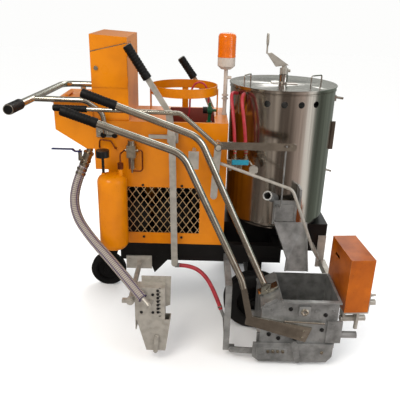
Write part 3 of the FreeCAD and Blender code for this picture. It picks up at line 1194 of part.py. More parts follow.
def burner():
    """Ring burner below the kettle and the gas pipe along the near side."""
    skirt_in = MID_Y - STAND_HALF + 6
    ring = Part.makeTorus(110, 11, V(KETTLE_X, MID_Y, RAIL_TOP + 16), AXIS["z"])
    rest = box(KETTLE_X - 120, KETTLE_X + 120, MID_Y - 8, MID_Y + 8, RAIL_TOP, RAIL_TOP + 8)
    feed_x, feed_y, feed_z = GAS_PIPE[-1]
    feed = rod((feed_x, skirt_in, feed_z), (feed_x, feed_y + 66, feed_z), 7)
    riser = rod((feed_x, feed_y + 60, feed_z), (KETTLE_X + 95, MID_Y - 50, RAIL_TOP + 16), 7)
    inside = fused([ring, rest, riser, feed])
    pipe = swept(GAS_PIPE, 7, radius=40)
    start_x, start_y, start_z = GAS_PIPE[0]
    boss = rod((start_x, BODY_NEAR_Y, start_z), (start_x, start_y - 2, start_z), 13)
    return inside, fused([pipe, boss])


def burner_hose_union():
    """Hose union on the near rail where the shoe's burner hose starts."""
    x, y, z = BURNER_HOSE[0]
    barrel = rod((x - 22, y, z), (x, y, z), 11)
    foot = box(x - 20, x - 8, y, NEAR_RAIL_Y, z - 8, RAIL_TOP - RAIL_H + 12)
    return fused([barrel, foot])


# ---- marking shoe -----------------------------------------------------------------
def shoe_hopper():
    """Box of the marking shoe, open at the mouth, with a rim and a slot below."""
    def outline(inset):
        top = SHOE_TOP + (1 if inset else 0)
        return [(SHOE_X0 + inset, SHOE_BASE + inset), (SHOE_X1 - inset, SHOE_BASE + inset),
                (SHOE_X1 - inset, top), (SHOE_MOUTH_X + inset, top), (SHOE_X0 + inset, SHOE_SHOULDER)]

    shell = plate(outline(0), SHOE_NEAR_Y, SHOE_FAR_Y)
    shell = shell.cut(plate(outline(SHOE_T), SHOE_NEAR_Y + SHOE_T, SHOE_FAR_Y - SHOE_T))
    slope = rear_cover_slab(-40.0, 20.0, SHOE_NEAR_Y - 1, SHOE_FAR_Y + 1)
    between = box(0, SHOE_MOUTH_X - 1, SHOE_NEAR_Y + SHOE_T, SHOE_FAR_Y - SHOE_T, 200, 400)
    shell = shell.cut(slope.common(between))
    shell = shell.cut(rear_cover_slab(-1.0, 20.0, SHOE_NEAR_Y - 1, SHOE_FAR_Y + 1))
    hinge_x, hinge_z = cover_hinge()
    shell = shell.cut(rod((hinge_x, SHOE_NEAR_Y + SHOE_T, hinge_z), (hinge_x, SHOE_FAR_Y - SHOE_T, hinge_z),
                          HINGE_PIN_R + 3 + GAP))
    shell = fused([shell] + list(hinge_ears(HINGE_EAR_R)))
    pin_hole = rod((hinge_x, SHOE_NEAR_Y - 1, hinge_z), (hinge_x, SHOE_FAR_Y + 1, hinge_z), HINGE_PIN_R)
    shell = shell.cut(pin_hole)
    slot = box(GATE_X0 + 8, GATE_X1 - 8, SHOE_NEAR_Y + 40, SHOE_FAR_Y - 40,
               SHOE_BASE - 1, SHOE_BASE + SHOE_T + 1)
    shell = shell.cut(slot)
    rim = box(SHOE_MOUTH_X - 4, SHOE_X1 + 6, SHOE_NEAR_Y - 14, SHOE_NEAR_Y + SHOE_T, SHOE_TOP - 8, SHOE_TOP)
    rim = rim.cut(rear_cover_slab(-8.0, 40.0, SHOE_NEAR_Y - 20, SHOE_FAR_Y + 1))
    lip = box(SHOE_X1 - SHOE_T, SHOE_X1 + 6, SHOE_NEAR_Y, SHOE_FAR_Y, SHOE_TOP - 5, SHOE_TOP)
    block = box(420, 470, SHOE_NEAR_Y - 14, SHOE_NEAR_Y, 268, 314)
    fixings = [bolt(x, z, SHOE_NEAR_Y, 7, 6) for x, z in ((310, 286), (356, 298), (500, 286), (572, 284))]
    return fused([shell, rim, lip, block] + fixings)


def shoe_hinge_pin():
    """Steel pin of the rear cover, held in the ears of the shoe's side walls."""
    x, z = cover_hinge()
    return rod((x, SHOE_NEAR_Y, z), (x, SHOE_FAR_Y, z), HINGE_PIN_R)


def cover_hinge():
    """X and Z of the rear cover's hinge."""
    return SHOE_X0 + 4, SHOE_SHOULDER + 4


def hinge_ears(radius):
    """Discs about the cover's hinge in the planes of both side walls."""
    x, z = cover_hinge()
    near = rod((x, SHOE_NEAR_Y, z), (x, SHOE_NEAR_Y + SHOE_T, z), radius)
    far = rod((x, SHOE_FAR_Y - SHOE_T, z), (x, SHOE_FAR_Y, z), radius)
    return near, far


def shoe_skids():
    """Runner plates bolted to both sides of the shoe."""
    outline = [(232, 118), (590, 118), (590, 52), (566, SKID_Z0), (262, SKID_Z0), (232, 44)]
    near = plate(outline, SHOE_NEAR_Y - 10, SHOE_NEAR_Y)
    far = plate(outline, SHOE_FAR_Y, SHOE_FAR_Y + 10)
    latch = bar((414, 122), (436, 34), 26, SHOE_NEAR_Y - 20, SHOE_NEAR_Y - 10)
    shim = box(250, 388, SHOE_NEAR_Y - 16, SHOE_NEAR_Y - 10, 36, 94)
    heads = [bolt(x, z, SHOE_NEAR_Y - 16, 6, 4) for x, z in ((272, 66), (306, 66), (340, 66))]
    near = fused([near, latch, shim] + heads)
    return group([near, far])


# ---- side box ---------------------------------------------------------------------
def turned(shape):
    """Piece of the side box assembly, swung out by the box's yaw."""
    copy = shape.copy()
    copy.rotate(V(BOX_X, BOX_FAR_Y, 0), AXIS["z"], BOX_YAW)
    return copy


def side_box():
    """Closed sheet box on the front outrigger with a slot handle."""
    x0, x1 = BOX_X - BOX_LEN / 2, BOX_X + BOX_LEN / 2
    shell = box(x0, x1, BOX_NEAR_Y, BOX_FAR_Y, BOX_Z0, BOX_Z1)
    shell = shell.cut(box(x0 + 2, x1 - 2, BOX_NEAR_Y + 2, BOX_FAR_Y - 2, BOX_Z0 - 1, BOX_Z1 - 2))
    slot = box(x0 - 1, x0 + 3, -300, -246, BOX_Z1 - 66, BOX_Z1 - 52)
    return turned(shell.cut(slot))


def side_box_bracket():
    """Tray, arm and cross tube that carry the side box."""
    x0, x1 = BOX_X - BOX_LEN / 2, BOX_X + BOX_LEN / 2
    tray = box(x0 + 4, x1 + 8, BOX_NEAR_Y + 8, BOX_FAR_Y - 8, BOX_Z0 - 12, BOX_Z0)
    upright = box(x1 + 4, x1 + 8, BOX_NEAR_Y + 8, BOX_NEAR_Y + 30, BOX_Z0 - 12, BOX_Z0 + 92)
    hook = rod((x1 + 6, BOX_NEAR_Y + 18, BOX_Z0 + 74), (x1 + 30, BOX_NEAR_Y + 14, BOX_Z0 + 82), 5)
    knob = rod((x1 + 6, BOX_NEAR_Y + 20, BOX_Z0 + 40), (x1 + 34, BOX_NEAR_Y + 20, BOX_Z0 + 40), 13)
    struts = [box(x1 - 38, x1 - 26, BOX_NEAR_Y + 20, BOX_NEAR_Y + 60, BOX_Z0 - 74, BOX_Z0 - 12),
              box(x0 + 14, x0 + 26, BOX_NEAR_Y + 40, BOX_NEAR_Y + 80, BOX_Z0 - 60, BOX_Z0 - 12)]
    cross = rod((x0 + 6, BOX_NEAR_Y + 50, BOX_Z0 - 62), (x1 + 14, BOX_NEAR_Y + 50, BOX_Z0 - 62), 14)
    foot = rod((x1 - 32, BOX_NEAR_Y + 30, BOX_Z0 - 104), (x1 - 32, BOX_NEAR_Y + 30, BOX_Z0 - 60), 9)
    turned_part = turned(fused([tray, upright, hook, knob, cross, foot] + struts))
    arm = box(BOX_X - 50, BOX_X - 24, BOX_FAR_Y - 30, MID_Y - STAND_HALF, BOX_Z0 - 10, BOX_Z0 + 30)
    riser = box(CHASSIS_FRONT_X - RAIL_W, CHASSIS_FRONT_X, MID_Y - STAND_HALF - 6, MID_Y - STAND_HALF,
                BOX_Z0 - 10, RAIL_TOP)
    box_space = turned(box(BOX_X - BOX_LEN / 2 - 1, BOX_X + BOX_LEN / 2 + 1, BOX_NEAR_Y - 1, BOX_FAR_Y + 1,
                           BOX_Z0, BOX_Z1 + 1))
    return fused([turned_part, arm.cut(box_space), riser])


# ---- output -----------------------------------------------------------------------
def cords():
    """The hoses: name, route and diameter."""
    return {
        "regulator_hose": (REGULATOR_HOSE, REGULATOR_HOSE_D),
        "bead_hose": (BEAD_HOSE, BEAD_HOSE_D),
        "gas_hose_rear": (GAS_HOSES[0], GAS_HOSE_D),
        "gas_hose_front": (GAS_HOSES[1], GAS_HOSE_D),
        "burner_hose": (BURNER_HOSE, BURNER_HOSE_D),
    }


def cord_solids():
    """Each hose as a plain tube, with its radii and its volume check printed."""
    solids = {}
    for name, (points, diameter) in cords().items():
        path, radii = bend_path(points)
        solid = swept(points, diameter / 2)
        section = math.pi * diameter ** 2 / 4
        print(name, "length", round(path.Length), "diameter", diameter, "radii", radii,
              "volume ratio", round(solid.Volume / (section * path.Length), 4))
        solids[name] = solid
    return solids


def longest(shape):
    """The largest of a shape's solids, without the bits cut off inside a fitting."""
    return max(shape.Solids, key=lambda solid: solid.Volume)


def build():
    """Every piece, by the name of its node."""
    near_wheel = wheel(NEAR_WHEEL_Y)
    far_wheel = wheel(FAR_WHEEL_Y)
    fork, caster_wheel = caster()
    mast, lens = beacon()
    arm, clamp, link = shoe_arm()
    ring_burner, gas_pipe = burner()
    hoses = cord_solids()
    jacket = kettle_jacket()
    manifold = gas_manifold()
    hopper = bead_hopper()
    valve = ball_valve().cut(hopper)
    dispenser = bead_dispenser()
    air_unit = air_regulator()
    regulator = gas_regulator()
    cover = shoe_cover()
    hanger = shoe_hanger()
    union = burner_hose_union()
    parts = {
        "chassis_frame": group([chassis(), hanger, union]),
        "front_wheel_near": group(near_wheel),
        "front_wheel_far": group(far_wheel),
        "caster_fork": fork,
        "caster_wheel": caster_wheel,
        "body_housing": body_housing(),
        "grille_mesh": grille_mesh(),
        "housing_screws": housing_screws(),
        "engine": engine(),
        "engine_pulley": pulley(*ENGINE_PULLEY),
        "compressor": compressor(),
        "compressor_pulley": pulley(*AIR_PULLEY),
        "drive_belt": drive_belt(),
        "control_cabinet": control_cabinet(),
        "cabinet_door": group(cabinet_door()),
        "cylinder_ring": cylinder_ring(),
        "gas_regulator": regulator,
        "regulator_knob": regulator_knob(),
        "regulator_hose": hoses["regulator_hose"].cut(regulator),
        "bead_hopper": hopper,
        "bead_hopper_lid": bead_hopper_lid(),
        "ball_valve": valve,
        "ball_valve_lever": ball_valve_lever(),
        "bead_hose": longest(hoses["bead_hose"].cut(valve).cut(dispenser)),
        "dispenser_arm": dispenser_arm().cut(dispenser),
        "bead_dispenser": dispenser,
        "dispenser_gate": dispenser_gate(),
        "air_tank": air_tank(),
        "air_fittings": group([pressure_gauge(), air_unit]),
        "air_lines": air_lines().cut(air_unit),
        "handlebar": group([handlebar(), grip_on(BAR_PATH, BAR_R, BAR_GRIP_LEN)]),
        "throttle_lever": throttle_lever(),
        "gate_lever": gate_lever().cut(cover),
        "gate_lever_grip": grip_on(xz(GATE_LEVER, GATE_LEVER_Y), LEVER_R, GRIP_LEN),
        "shoe_lever": arm,
        "shoe_lever_grip": grip_on(xz(SHOE_LEVER, SHOE_LEVER_Y), LEVER_R, GRIP_LEN),
        "outlet_lever": outlet_lever(),
        "outlet_lever_grip": grip_on(xz(OUTLET_LEVER, OUTLET_LEVER_Y), OUTLET_TUBE_R, GRIP_LEN),
        "lever_brackets": lever_brackets(),
        "drive_lever": group(drive_lever()),
        "brake_lever": group(brake_lever()),
        "beacon_mast": mast,
        "beacon_lens": lens,
        "kettle_jacket": group([jacket, kettle_top()]),
        "kettle_pot": kettle_pot(),
        "kettle_lid": kettle_lid(),
        "stirrer": stirrer(),
        "outlet_valve": group([outlet_valve(), outlet_chute()]),
        "outlet_gate": outlet_gate(),
        "gas_manifold": manifold,
        "manifold_knob": manifold_knob(),
        "gas_hose_rear": hoses["gas_hose_rear"].cut(manifold).cut(jacket),
        "gas_hose_front": hoses["gas_hose_front"].cut(manifold).cut(jacket),
        "burner_hose": hoses["burner_hose"].cut(hanger).cut(union),
        "burner": group([ring_burner, gas_pipe]),
        "shoe_hopper": group([shoe_hopper(), shoe_hinge_pin(), clamp, link]),
        "shoe_cover": cover,
        "shoe_skids": shoe_skids(),
        "side_box": side_box(),
        "side_box_bracket": side_box_bracket(),
    }
    return parts


def main():
    """Write each piece to its own file."""
    os.makedirs("parts", exist_ok=True)
    parts = build()
    for name, shape in parts.items():
        shape.exportStep("parts/" + name + ".step")
        print(name, len(shape.Solids), round(shape.Volume / 1000, 1), "cm3", shape.isValid())
    print(len(parts), "nodes")


if __name__ == "__main__":
    main()
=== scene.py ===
"""Line striping machine: camera, hoses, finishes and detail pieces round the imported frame.

Metres, +Z up, +X the way the machine travels, +Y away from the working side.
"""
import json
import logging
import math
from dataclasses import dataclass
from enum import Enum
from typing import Optional, Sequence

import bmesh
import bpy
from mathutils import Matrix, Vector

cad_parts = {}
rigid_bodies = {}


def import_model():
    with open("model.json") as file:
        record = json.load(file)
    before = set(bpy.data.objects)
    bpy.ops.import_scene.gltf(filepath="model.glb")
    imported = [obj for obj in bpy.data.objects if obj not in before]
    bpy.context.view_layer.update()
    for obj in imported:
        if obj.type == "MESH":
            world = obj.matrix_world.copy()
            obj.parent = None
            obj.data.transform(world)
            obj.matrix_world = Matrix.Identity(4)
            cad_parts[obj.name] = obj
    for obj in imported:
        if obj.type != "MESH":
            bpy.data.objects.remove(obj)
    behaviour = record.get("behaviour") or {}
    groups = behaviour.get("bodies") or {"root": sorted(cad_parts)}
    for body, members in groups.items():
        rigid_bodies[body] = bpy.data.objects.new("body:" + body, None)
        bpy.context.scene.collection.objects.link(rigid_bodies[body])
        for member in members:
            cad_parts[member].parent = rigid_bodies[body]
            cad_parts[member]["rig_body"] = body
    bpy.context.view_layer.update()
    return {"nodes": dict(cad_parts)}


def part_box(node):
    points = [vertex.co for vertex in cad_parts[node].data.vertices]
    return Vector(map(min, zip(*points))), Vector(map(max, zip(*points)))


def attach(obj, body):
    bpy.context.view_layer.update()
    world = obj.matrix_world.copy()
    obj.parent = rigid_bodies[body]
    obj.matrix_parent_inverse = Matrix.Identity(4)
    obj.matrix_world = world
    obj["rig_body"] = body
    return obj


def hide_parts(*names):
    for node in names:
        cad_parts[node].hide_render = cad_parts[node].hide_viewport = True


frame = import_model()

LOG = logging.getLogger("striping_machine")
MM = 0.001
EDGE_PATCH_MM = 22.0       # length of a patch of edge tone along an edge: wear, and on the side box a painted highlight
COAT_ROUGHNESS = 0.12
Point = Sequence[float]
Link = tuple[bpy.types.Node, str]


# ---- node and colour helpers ------------------------------------------------------
def srgb(code: str, alpha: float = 1.0) -> tuple[float, float, float, float]:
    """Turn an sRGB hex code into linear RGBA.

    Args:
        code: Six hex digits.
        alpha: Opacity.

    Returns:
        The linear colour.
    """
    linear = []
    for start in (0, 2, 4):
        value = int(code[start:start + 2], 16) / 255
        linear.append(value / 12.92 if value <= 0.04045 else ((value + 0.055) / 1.055) ** 2.4)
    return linear[0], linear[1], linear[2], alpha


def add_node(tree: bpy.types.NodeTree, kind: str, settings: Optional[dict] = None,
             links: Optional[dict[str, Link]] = None) -> bpy.types.Node:
    """Add a node with its settings and links.

    Args:
        tree: The node tree that gets the node.
        kind: The node's type name.
        settings: Socket values by socket name, or attributes of the node.
        links: For each input socket, the node and output it takes its value from.

    Returns:
        The new node.
    """
    node = tree.nodes.new(kind)
    for key, value in (settings or {}).items():
        if isinstance(key, str) and hasattr(node, key):
            setattr(node, key, value)
        else:
            node.inputs[key].default_value = value
    for socket, (source, output) in (links or {}).items():
        tree.links.new(source.outputs[output], node.inputs[socket])
    return node


# ---- finishes ---------------------------------------------------------------------
@dataclass(frozen=True)
class Finish:
    """A surface with blotches of a second tone, specks, a fine grain in bump, and an edge tone: worn edges,
    and on the side box painted highlights.

    Sizes are in millimetres on the real surface.
    """

    name: str
    slot: str
    tone: str
    second_tone: str
    metallic: float = 0.0
    roughness: float = 0.4
    roughness_spread: float = 0.1
    blotch_mm: float = 90.0
    blotch_amount: float = 0.5
    blotch_stretch: tuple[float, float, float] = (1.0, 1.0, 1.0)
    grain_mm: float = 3.0
    grain_height_mm: float = 0.05
    grain_stretch: tuple[float, float, float] = (1.0, 1.0, 1.0)
    speck_tone: Optional[str] = None
    speck_mm: float = 9.0
    edge_tone: Optional[str] = None
    edge_mm: float = 1.6
    coat: float = 0.0
    specular: float = 0.5

    def make(self) -> bpy.types.Material:
        """Return this finish's material, made once."""
        known = bpy.data.materials.get(self.name)
        if known:
            return known
        material = bpy.data.materials.new(self.name)
        material.use_nodes = True
        tree = material.node_tree
        tree.nodes.clear()
        shader = add_node(tree, "ShaderNodeBsdfPrincipled", {"Metallic": self.metallic})
        shader.inputs["Specular IOR Level"].default_value = self.specular
        if self.coat:
            shader.inputs["Coat Weight"].default_value = self.coat
            shader.inputs["Coat Roughness"].default_value = COAT_ROUGHNESS
        add_node(tree, "ShaderNodeOutputMaterial", links={"Surface": (shader, "BSDF")})
        self.dress(tree, shader)
        return material

    def dress(self, tree: bpy.types.NodeTree, shader: bpy.types.Node) -> None:
        """Link colour, roughness and bump to the shader.

        Args:
            tree: The material's node tree.
            shader: Its Principled BSDF.
        """
        coord = add_node(tree, "ShaderNodeTexCoord")
        drawn = add_node(tree, "ShaderNodeMapping", {"Scale": self.blotch_stretch},
                         {"Vector": (coord, "Object")})
        blotch = add_node(tree, "ShaderNodeTexNoise",
                          {"Scale": 1 / (self.blotch_mm * MM), "Detail": 4.0, "Roughness": 0.55},
                          {"Vector": (drawn, "Vector")})
        spread = add_node(tree, "ShaderNodeMapRange",
                          {"From Min": 0.40, "From Max": 0.68, "To Max": self.blotch_amount},
                          {"Value": (blotch, "Fac")})
        colour = add_node(tree, "ShaderNodeMix",
                          {"data_type": "RGBA", 6: srgb(self.tone), 7: srgb(self.second_tone)},
                          {0: (spread, "Result")})
        if self.speck_tone:
            dots = add_node(tree, "ShaderNodeTexNoise", {"Scale": 1 / (self.speck_mm * MM), "Detail": 2.0},
                            {"Vector": (coord, "Object")})
            speck = add_node(tree, "ShaderNodeMapRange", {"From Min": 0.69, "From Max": 0.75, "To Max": 0.7},
                             {"Value": (dots, "Fac")})
            colour = add_node(tree, "ShaderNodeMix", {"data_type": "RGBA", 7: srgb(self.speck_tone)},
                              {0: (speck, "Result"), 6: (colour, 2)})
        if self.edge_tone:
            colour = self.tint_edges(tree, coord, colour)
        tree.links.new(colour.outputs[2], shader.inputs["Base Color"])
        rough = add_node(tree, "ShaderNodeMapRange",
                         {"To Min": max(0.03, self.roughness - self.roughness_spread),
                          "To Max": self.roughness + self.roughness_spread}, {"Value": (blotch, "Fac")})
        tree.links.new(rough.outputs["Result"], shader.inputs["Roughness"])
        stretched = add_node(tree, "ShaderNodeMapping", {"Scale": self.grain_stretch},
                             {"Vector": (coord, "Object")})
        grain = add_node(tree, "ShaderNodeTexNoise", {"Scale": 1 / (self.grain_mm * MM), "Detail": 3.0},
                         {"Vector": (stretched, "Vector")})
        bump = add_node(tree, "ShaderNodeBump", {"Strength": 1.0, "Distance": self.grain_height_mm * MM},
                        {"Height": (grain, "Fac")})
        tree.links.new(bump.outputs["Normal"], shader.inputs["Normal"])

    def tint_edges(self, tree: bpy.types.NodeTree, coord: bpy.types.Node,
                  colour: bpy.types.Node) -> bpy.types.Node:
        """Show the edge tone in patches along the edges.

        Args:
            tree: The material's node tree.
            coord: Its Texture Coordinate node.
            colour: The Mix node with the colour so far.

        Returns:
            The Mix node with the edge tone added.
        """
        rounded = add_node(tree, "ShaderNodeBevel", {"samples": 4, "Radius": self.edge_mm * MM})
        geometry = add_node(tree, "ShaderNodeNewGeometry")
        facing = add_node(tree, "ShaderNodeVectorMath", {"operation": "DOT_PRODUCT"},
                          {0: (rounded, "Normal"), 1: (geometry, "Normal")})
        edge = add_node(tree, "ShaderNodeMapRange", {"From Min": 0.985, "From Max": 0.90},
                        {"Value": (facing, "Value")})
        edge_noise = add_node(tree, "ShaderNodeTexNoise", {"Scale": 1 / (EDGE_PATCH_MM * MM), "Detail": 5.0},
                         {"Vector": (coord, "Object")})
        patch = add_node(tree, "ShaderNodeMapRange", {"From Min": 0.46, "From Max": 0.56},
                         {"Value": (edge_noise, "Fac")})
        # Edge tone in patches: wear on most finishes, painted highlight on the side box.
        rubbed = add_node(tree, "ShaderNodeMath", {"operation": "MULTIPLY"},
                          {0: (edge, "Result"), 1: (patch, "Result")})
        return add_node(tree, "ShaderNodeMix", {"data_type": "RGBA", 7: srgb(self.edge_tone)},
                        {0: (rubbed, 0), 6: (colour, 2)})


@dataclass(frozen=True)
class HoseWeave(Finish):
    """Clear PVC over a wire helix: grey wall, dark turns and coloured tracers, on the hose's own UV map."""

    wire_tone: str = "3E3838"
    tracer_tone: str = "3C2A55"
    turns_per_metre: float = 110.0
    tracers: float = 5.0
    wire_height_mm: float = 0.9

    def dress(self, tree: bpy.types.NodeTree, shader: bpy.types.Node) -> None:
        """Link the helix and tracers to colour and bump.

        Args:
            tree: The material's node tree.
            shader: Its Principled BSDF.
        """
        coord = add_node(tree, "ShaderNodeTexCoord")
        split = add_node(tree, "ShaderNodeSeparateXYZ", links={"Vector": (coord, "UV")})
        along = add_node(tree, "ShaderNodeMath", {"operation": "MULTIPLY", 1: self.turns_per_metre},
                         {0: (split, "X")})
        helix = add_node(tree, "ShaderNodeMath", {"operation": "ADD"}, {0: (along, 0), 1: (split, "Y")})
        turn = add_node(tree, "ShaderNodeMath", {"operation": "FRACT"}, {0: (helix, 0)})
        wave = add_node(tree, "ShaderNodeMath", {"operation": "PINGPONG", 1: 0.5}, {0: (turn, 0)})
        wire = add_node(tree, "ShaderNodeMapRange", {"From Max": 0.3, "To Min": 0.8, "To Max": 0.0},
                        {"Value": (wave, 0)})
        body = add_node(tree, "ShaderNodeMix",
                        {"data_type": "RGBA", 6: srgb(self.tone), 7: srgb(self.wire_tone)},
                        {0: (wire, "Result")})
        stripes = add_node(tree, "ShaderNodeMath", {"operation": "MULTIPLY", 1: self.tracers},
                           {0: (split, "Y")})
        stripe = add_node(tree, "ShaderNodeMath", {"operation": "FRACT"}, {0: (stripes, 0)})
        tracer = add_node(tree, "ShaderNodeMapRange",
                          {"From Min": 0.16, "From Max": 0.24, "To Min": 0.8, "To Max": 0.0},
                          {"Value": (stripe, 0)})
        colour = add_node(tree, "ShaderNodeMix", {"data_type": "RGBA", 7: srgb(self.tracer_tone)},
                          {0: (tracer, "Result"), 6: (body, 2)})
        tree.links.new(colour.outputs[2], shader.inputs["Base Color"])
        shader.inputs["Roughness"].default_value = self.roughness
        bump = add_node(tree, "ShaderNodeBump", {"Strength": 1.0, "Distance": self.wire_height_mm * MM},
                        {"Height": (wire, "Result")})
        tree.links.new(bump.outputs["Normal"], shader.inputs["Normal"])


@dataclass(frozen=True)
class ClearPlastic(Finish):
    """Tinted translucent plastic of the lamp's lens, with a faint painted glow."""

    def dress(self, tree: bpy.types.NodeTree, shader: bpy.types.Node) -> None:
        """Tint the plastic, let some light through it, and give it a faint painted glow.

        Args:
            tree: The material's node tree.
            shader: Its Principled BSDF.
        """
        Finish.dress(self, tree, shader)
        shader.inputs["Transmission Weight"].default_value = 0.25
        shader.inputs["IOR"].default_value = 1.58
        # Faint emission in the lens's own tone: painted glow for light passing through the lens.
        shader.inputs["Emission Color"].default_value = srgb(self.tone)
        shader.inputs["Emission Strength"].default_value = 0.12


# Enamel sprayed on sheet steel: saturated, a little uneven, rubbed brown in places at its edges.
ENAMEL = Finish("Orange enamel on sheet steel", "orange_paint", "CE7800", "B26000", roughness=0.30,
                roughness_spread=0.06, blotch_mm=170, blotch_amount=0.7, grain_mm=2.6, grain_height_mm=0.02,
                speck_tone="A85C08", speck_mm=7, edge_tone="8A5418", edge_mm=1.2, coat=0.12, specular=0.2)
# The same enamel painted a dark red brown on the housing's inner faces, in the cylinder well and behind the
# grille: painted shade.
ENAMEL_WELL_SHADE = Finish("Enamel with painted well shade", "orange_paint", "7A2208", "4A1206", roughness=0.5, blotch_mm=70,
                     grain_mm=3, grain_height_mm=0.05)
# The same enamel on the side box, painted darker as painted shade, with pale edges as painted highlights.
ENAMEL_SIDE_SHADE = Finish("Enamel with painted side shade", "orange_paint", "B05800", "803800", specular=0.2,
                        roughness=0.36, blotch_mm=120, blotch_amount=0.8, grain_mm=2.6, grain_height_mm=0.03,
                        speck_tone="5A2A08", edge_tone="E0A868", edge_mm=1.4, coat=0.15)
# Rolled stainless sheet: drawing marks in the bump, and tall dark streaks up the jacket in the colour as
# painted reflections.
STAINLESS = Finish("Stainless sheet with painted reflection streaks", "stainless", "B9B3A9", "5F564C", metallic=1.0, roughness=0.19,
                   roughness_spread=0.07, blotch_mm=38, blotch_amount=0.75, blotch_stretch=(1.0, 1.0, 0.03),
                   grain_mm=1.6, grain_height_mm=0.02, grain_stretch=(1.0, 1.0, 0.05))
# The same sheet laid flat as the lid, painted lighter: painted light on the top.
STAINLESS_LID = Finish("Lighter stainless sheet with painted light", "stainless", "C4C0B8", "6E675E", metallic=1.0,
                       roughness=0.16, blotch_mm=110, blotch_amount=0.7, grain_mm=1.6, grain_height_mm=0.02)
# Zinc plated tube, polished by hands.
PLATED_TUBE = Finish("Zinc plated steel tube", "polished_steel", "CCC9BC", "8F8A7E", metallic=1.0,
                     roughness=0.22, roughness_spread=0.08, blotch_mm=45, grain_mm=1.5, grain_height_mm=0.015)
# Bare mild steel plate with mill scale and heat stains round the hot shoe.
MILL_PLATE = Finish("Mild steel plate", "bare_steel", "9A9A98", "656563", metallic=0.6, roughness=0.40,
                    roughness_spread=0.12, blotch_mm=60, blotch_amount=0.8, grain_mm=2.4,
                    grain_height_mm=0.06, speck_tone="3A342E", speck_mm=6, edge_tone="C9C6BE", edge_mm=1.0)
# Flat bar and brackets: galvanised, greyer and duller than plated tube.
GALVANISED = Finish("Galvanised steel bar", "galvanised_steel", "B4AEA4", "857F75", metallic=0.45,
                    roughness=0.36, roughness_spread=0.1, blotch_mm=28, grain_mm=4, grain_height_mm=0.04,
                    edge_tone="BDB9AF", edge_mm=0.8)
# Mesh wire painted a warm gold as painted light, where it catches warm light in front of the dark engine bay.
MESH_WIRE = Finish("Mesh wire with painted warm light", "galvanised_steel", "D9B98C", "A88458", metallic=0.7,
                   roughness=0.35, blotch_mm=30, grain_mm=1.5, grain_height_mm=0.03)
# Chassis paint: black and semi-matt, with a little road dust.
CHASSIS_BLACK = Finish("Black chassis paint", "black_paint", "080707", "141211", specular=0.3,
                       roughness=0.42, roughness_spread=0.12, blotch_mm=60, grain_mm=2, grain_height_mm=0.05,
                       speck_tone="38332D", speck_mm=6)
# Sand cast iron of engine and pulleys.
CAST_IRON = Finish("Sand cast iron", "cast_grey", "161514", "0A0909", metallic=0.2, roughness=0.62,
                   blotch_mm=30, grain_mm=1.4, grain_height_mm=0.2, speck_tone="4A4640", speck_mm=8)
# Moulded grip rubber, matt with a faint bloom.
GRIP_RUBBER = Finish("Moulded grip rubber", "rubber_black", "050505", "100F0F", specular=0.3,
                     roughness=0.55, blotch_mm=40, grain_mm=1.2, grain_height_mm=0.05)
# Solid tyre rubber, greyed with road dust.
TYRE_RUBBER = Finish("Dusty tyre rubber", "tyre_black", "070707", "181614", specular=0.3, roughness=0.7,
                     blotch_mm=50, grain_mm=1.8, grain_height_mm=0.15)
# Red fuel gas hose, extruded rubber with a slight gloss.
GAS_RUBBER = Finish("Red gas hose rubber", "red_rubber", "A82A34", "70141C", roughness=0.4, blotch_mm=20,
                    grain_mm=1.0, grain_height_mm=0.05)
# Nickel plated brass of the ball valve and couplings.
NICKEL = Finish("Nickel plated brass", "brass", "B7AF9E", "7A7264", metallic=1.0, roughness=0.28,
                blotch_mm=20, grain_mm=1.4, grain_height_mm=0.03)
# Drawn copper of the air lines, browned by handling.
COPPER = Finish("Browned copper pipe", "brass", "8A4A2A", "5A2A18", metallic=0.9, roughness=0.33,
                blotch_mm=15, grain_mm=1.0, grain_height_mm=0.03)
# Dipped PVC sleeve of the valve lever.
BLUE_SLEEVE = Finish("Blue dipped PVC", "plastic_blue", "14205E", "0C1440", roughness=0.4, blotch_mm=20,
                     grain_mm=1.0, grain_height_mm=0.03)
# Regulator casting with green enamel.
GREEN_ENAMEL = Finish("Green enamel on zinc casting", "green_paint", "0A5A3A", "063A26", roughness=0.35,
                      blotch_mm=14, grain_mm=1.5, grain_height_mm=0.06, coat=0.3)
# Moulded phenolic of knobs and of the gauge.
PHENOLIC = Finish("Black phenolic", "plastic_black", "0E0E0E", "1A1A1A", roughness=0.3, blotch_mm=20,
                  grain_mm=1.0, grain_height_mm=0.02)
# Teal enamel of the manifold's body.
TEAL_ENAMEL = Finish("Teal enamel", "green_paint", "1E8EA6", "14647A", roughness=0.35, blotch_mm=12,
                     grain_mm=1.2, grain_height_mm=0.04)
# Warm white moulded ABS under the lamp.
LAMP_ABS = Finish("Warm white ABS", "galvanised_steel", "B9ACA0", "9A8C80", roughness=0.4, blotch_mm=30,
                  grain_mm=1.0, grain_height_mm=0.03)
# Amber polycarbonate of the lamp.
LENS = ClearPlastic("Amber polycarbonate", "beacon_orange", "DC6C06", "B85202", roughness=0.16, blotch_mm=30,
                    grain_mm=2.0, grain_height_mm=0.02)
# Clear PVC hose over a wire helix, with dark tracer lines along it.
PVC_HOSE = HoseWeave("Wire reinforced PVC hose", "hose_pvc", "9A8F86", "8A8076", roughness=0.26)


# ---- mesh helpers -----------------------------------------------------------------
class Solids(Enum):
    """Which of a CAD node's solids a piece takes."""

    ALL = "all"
    LARGEST = "largest"
    REST = "rest"


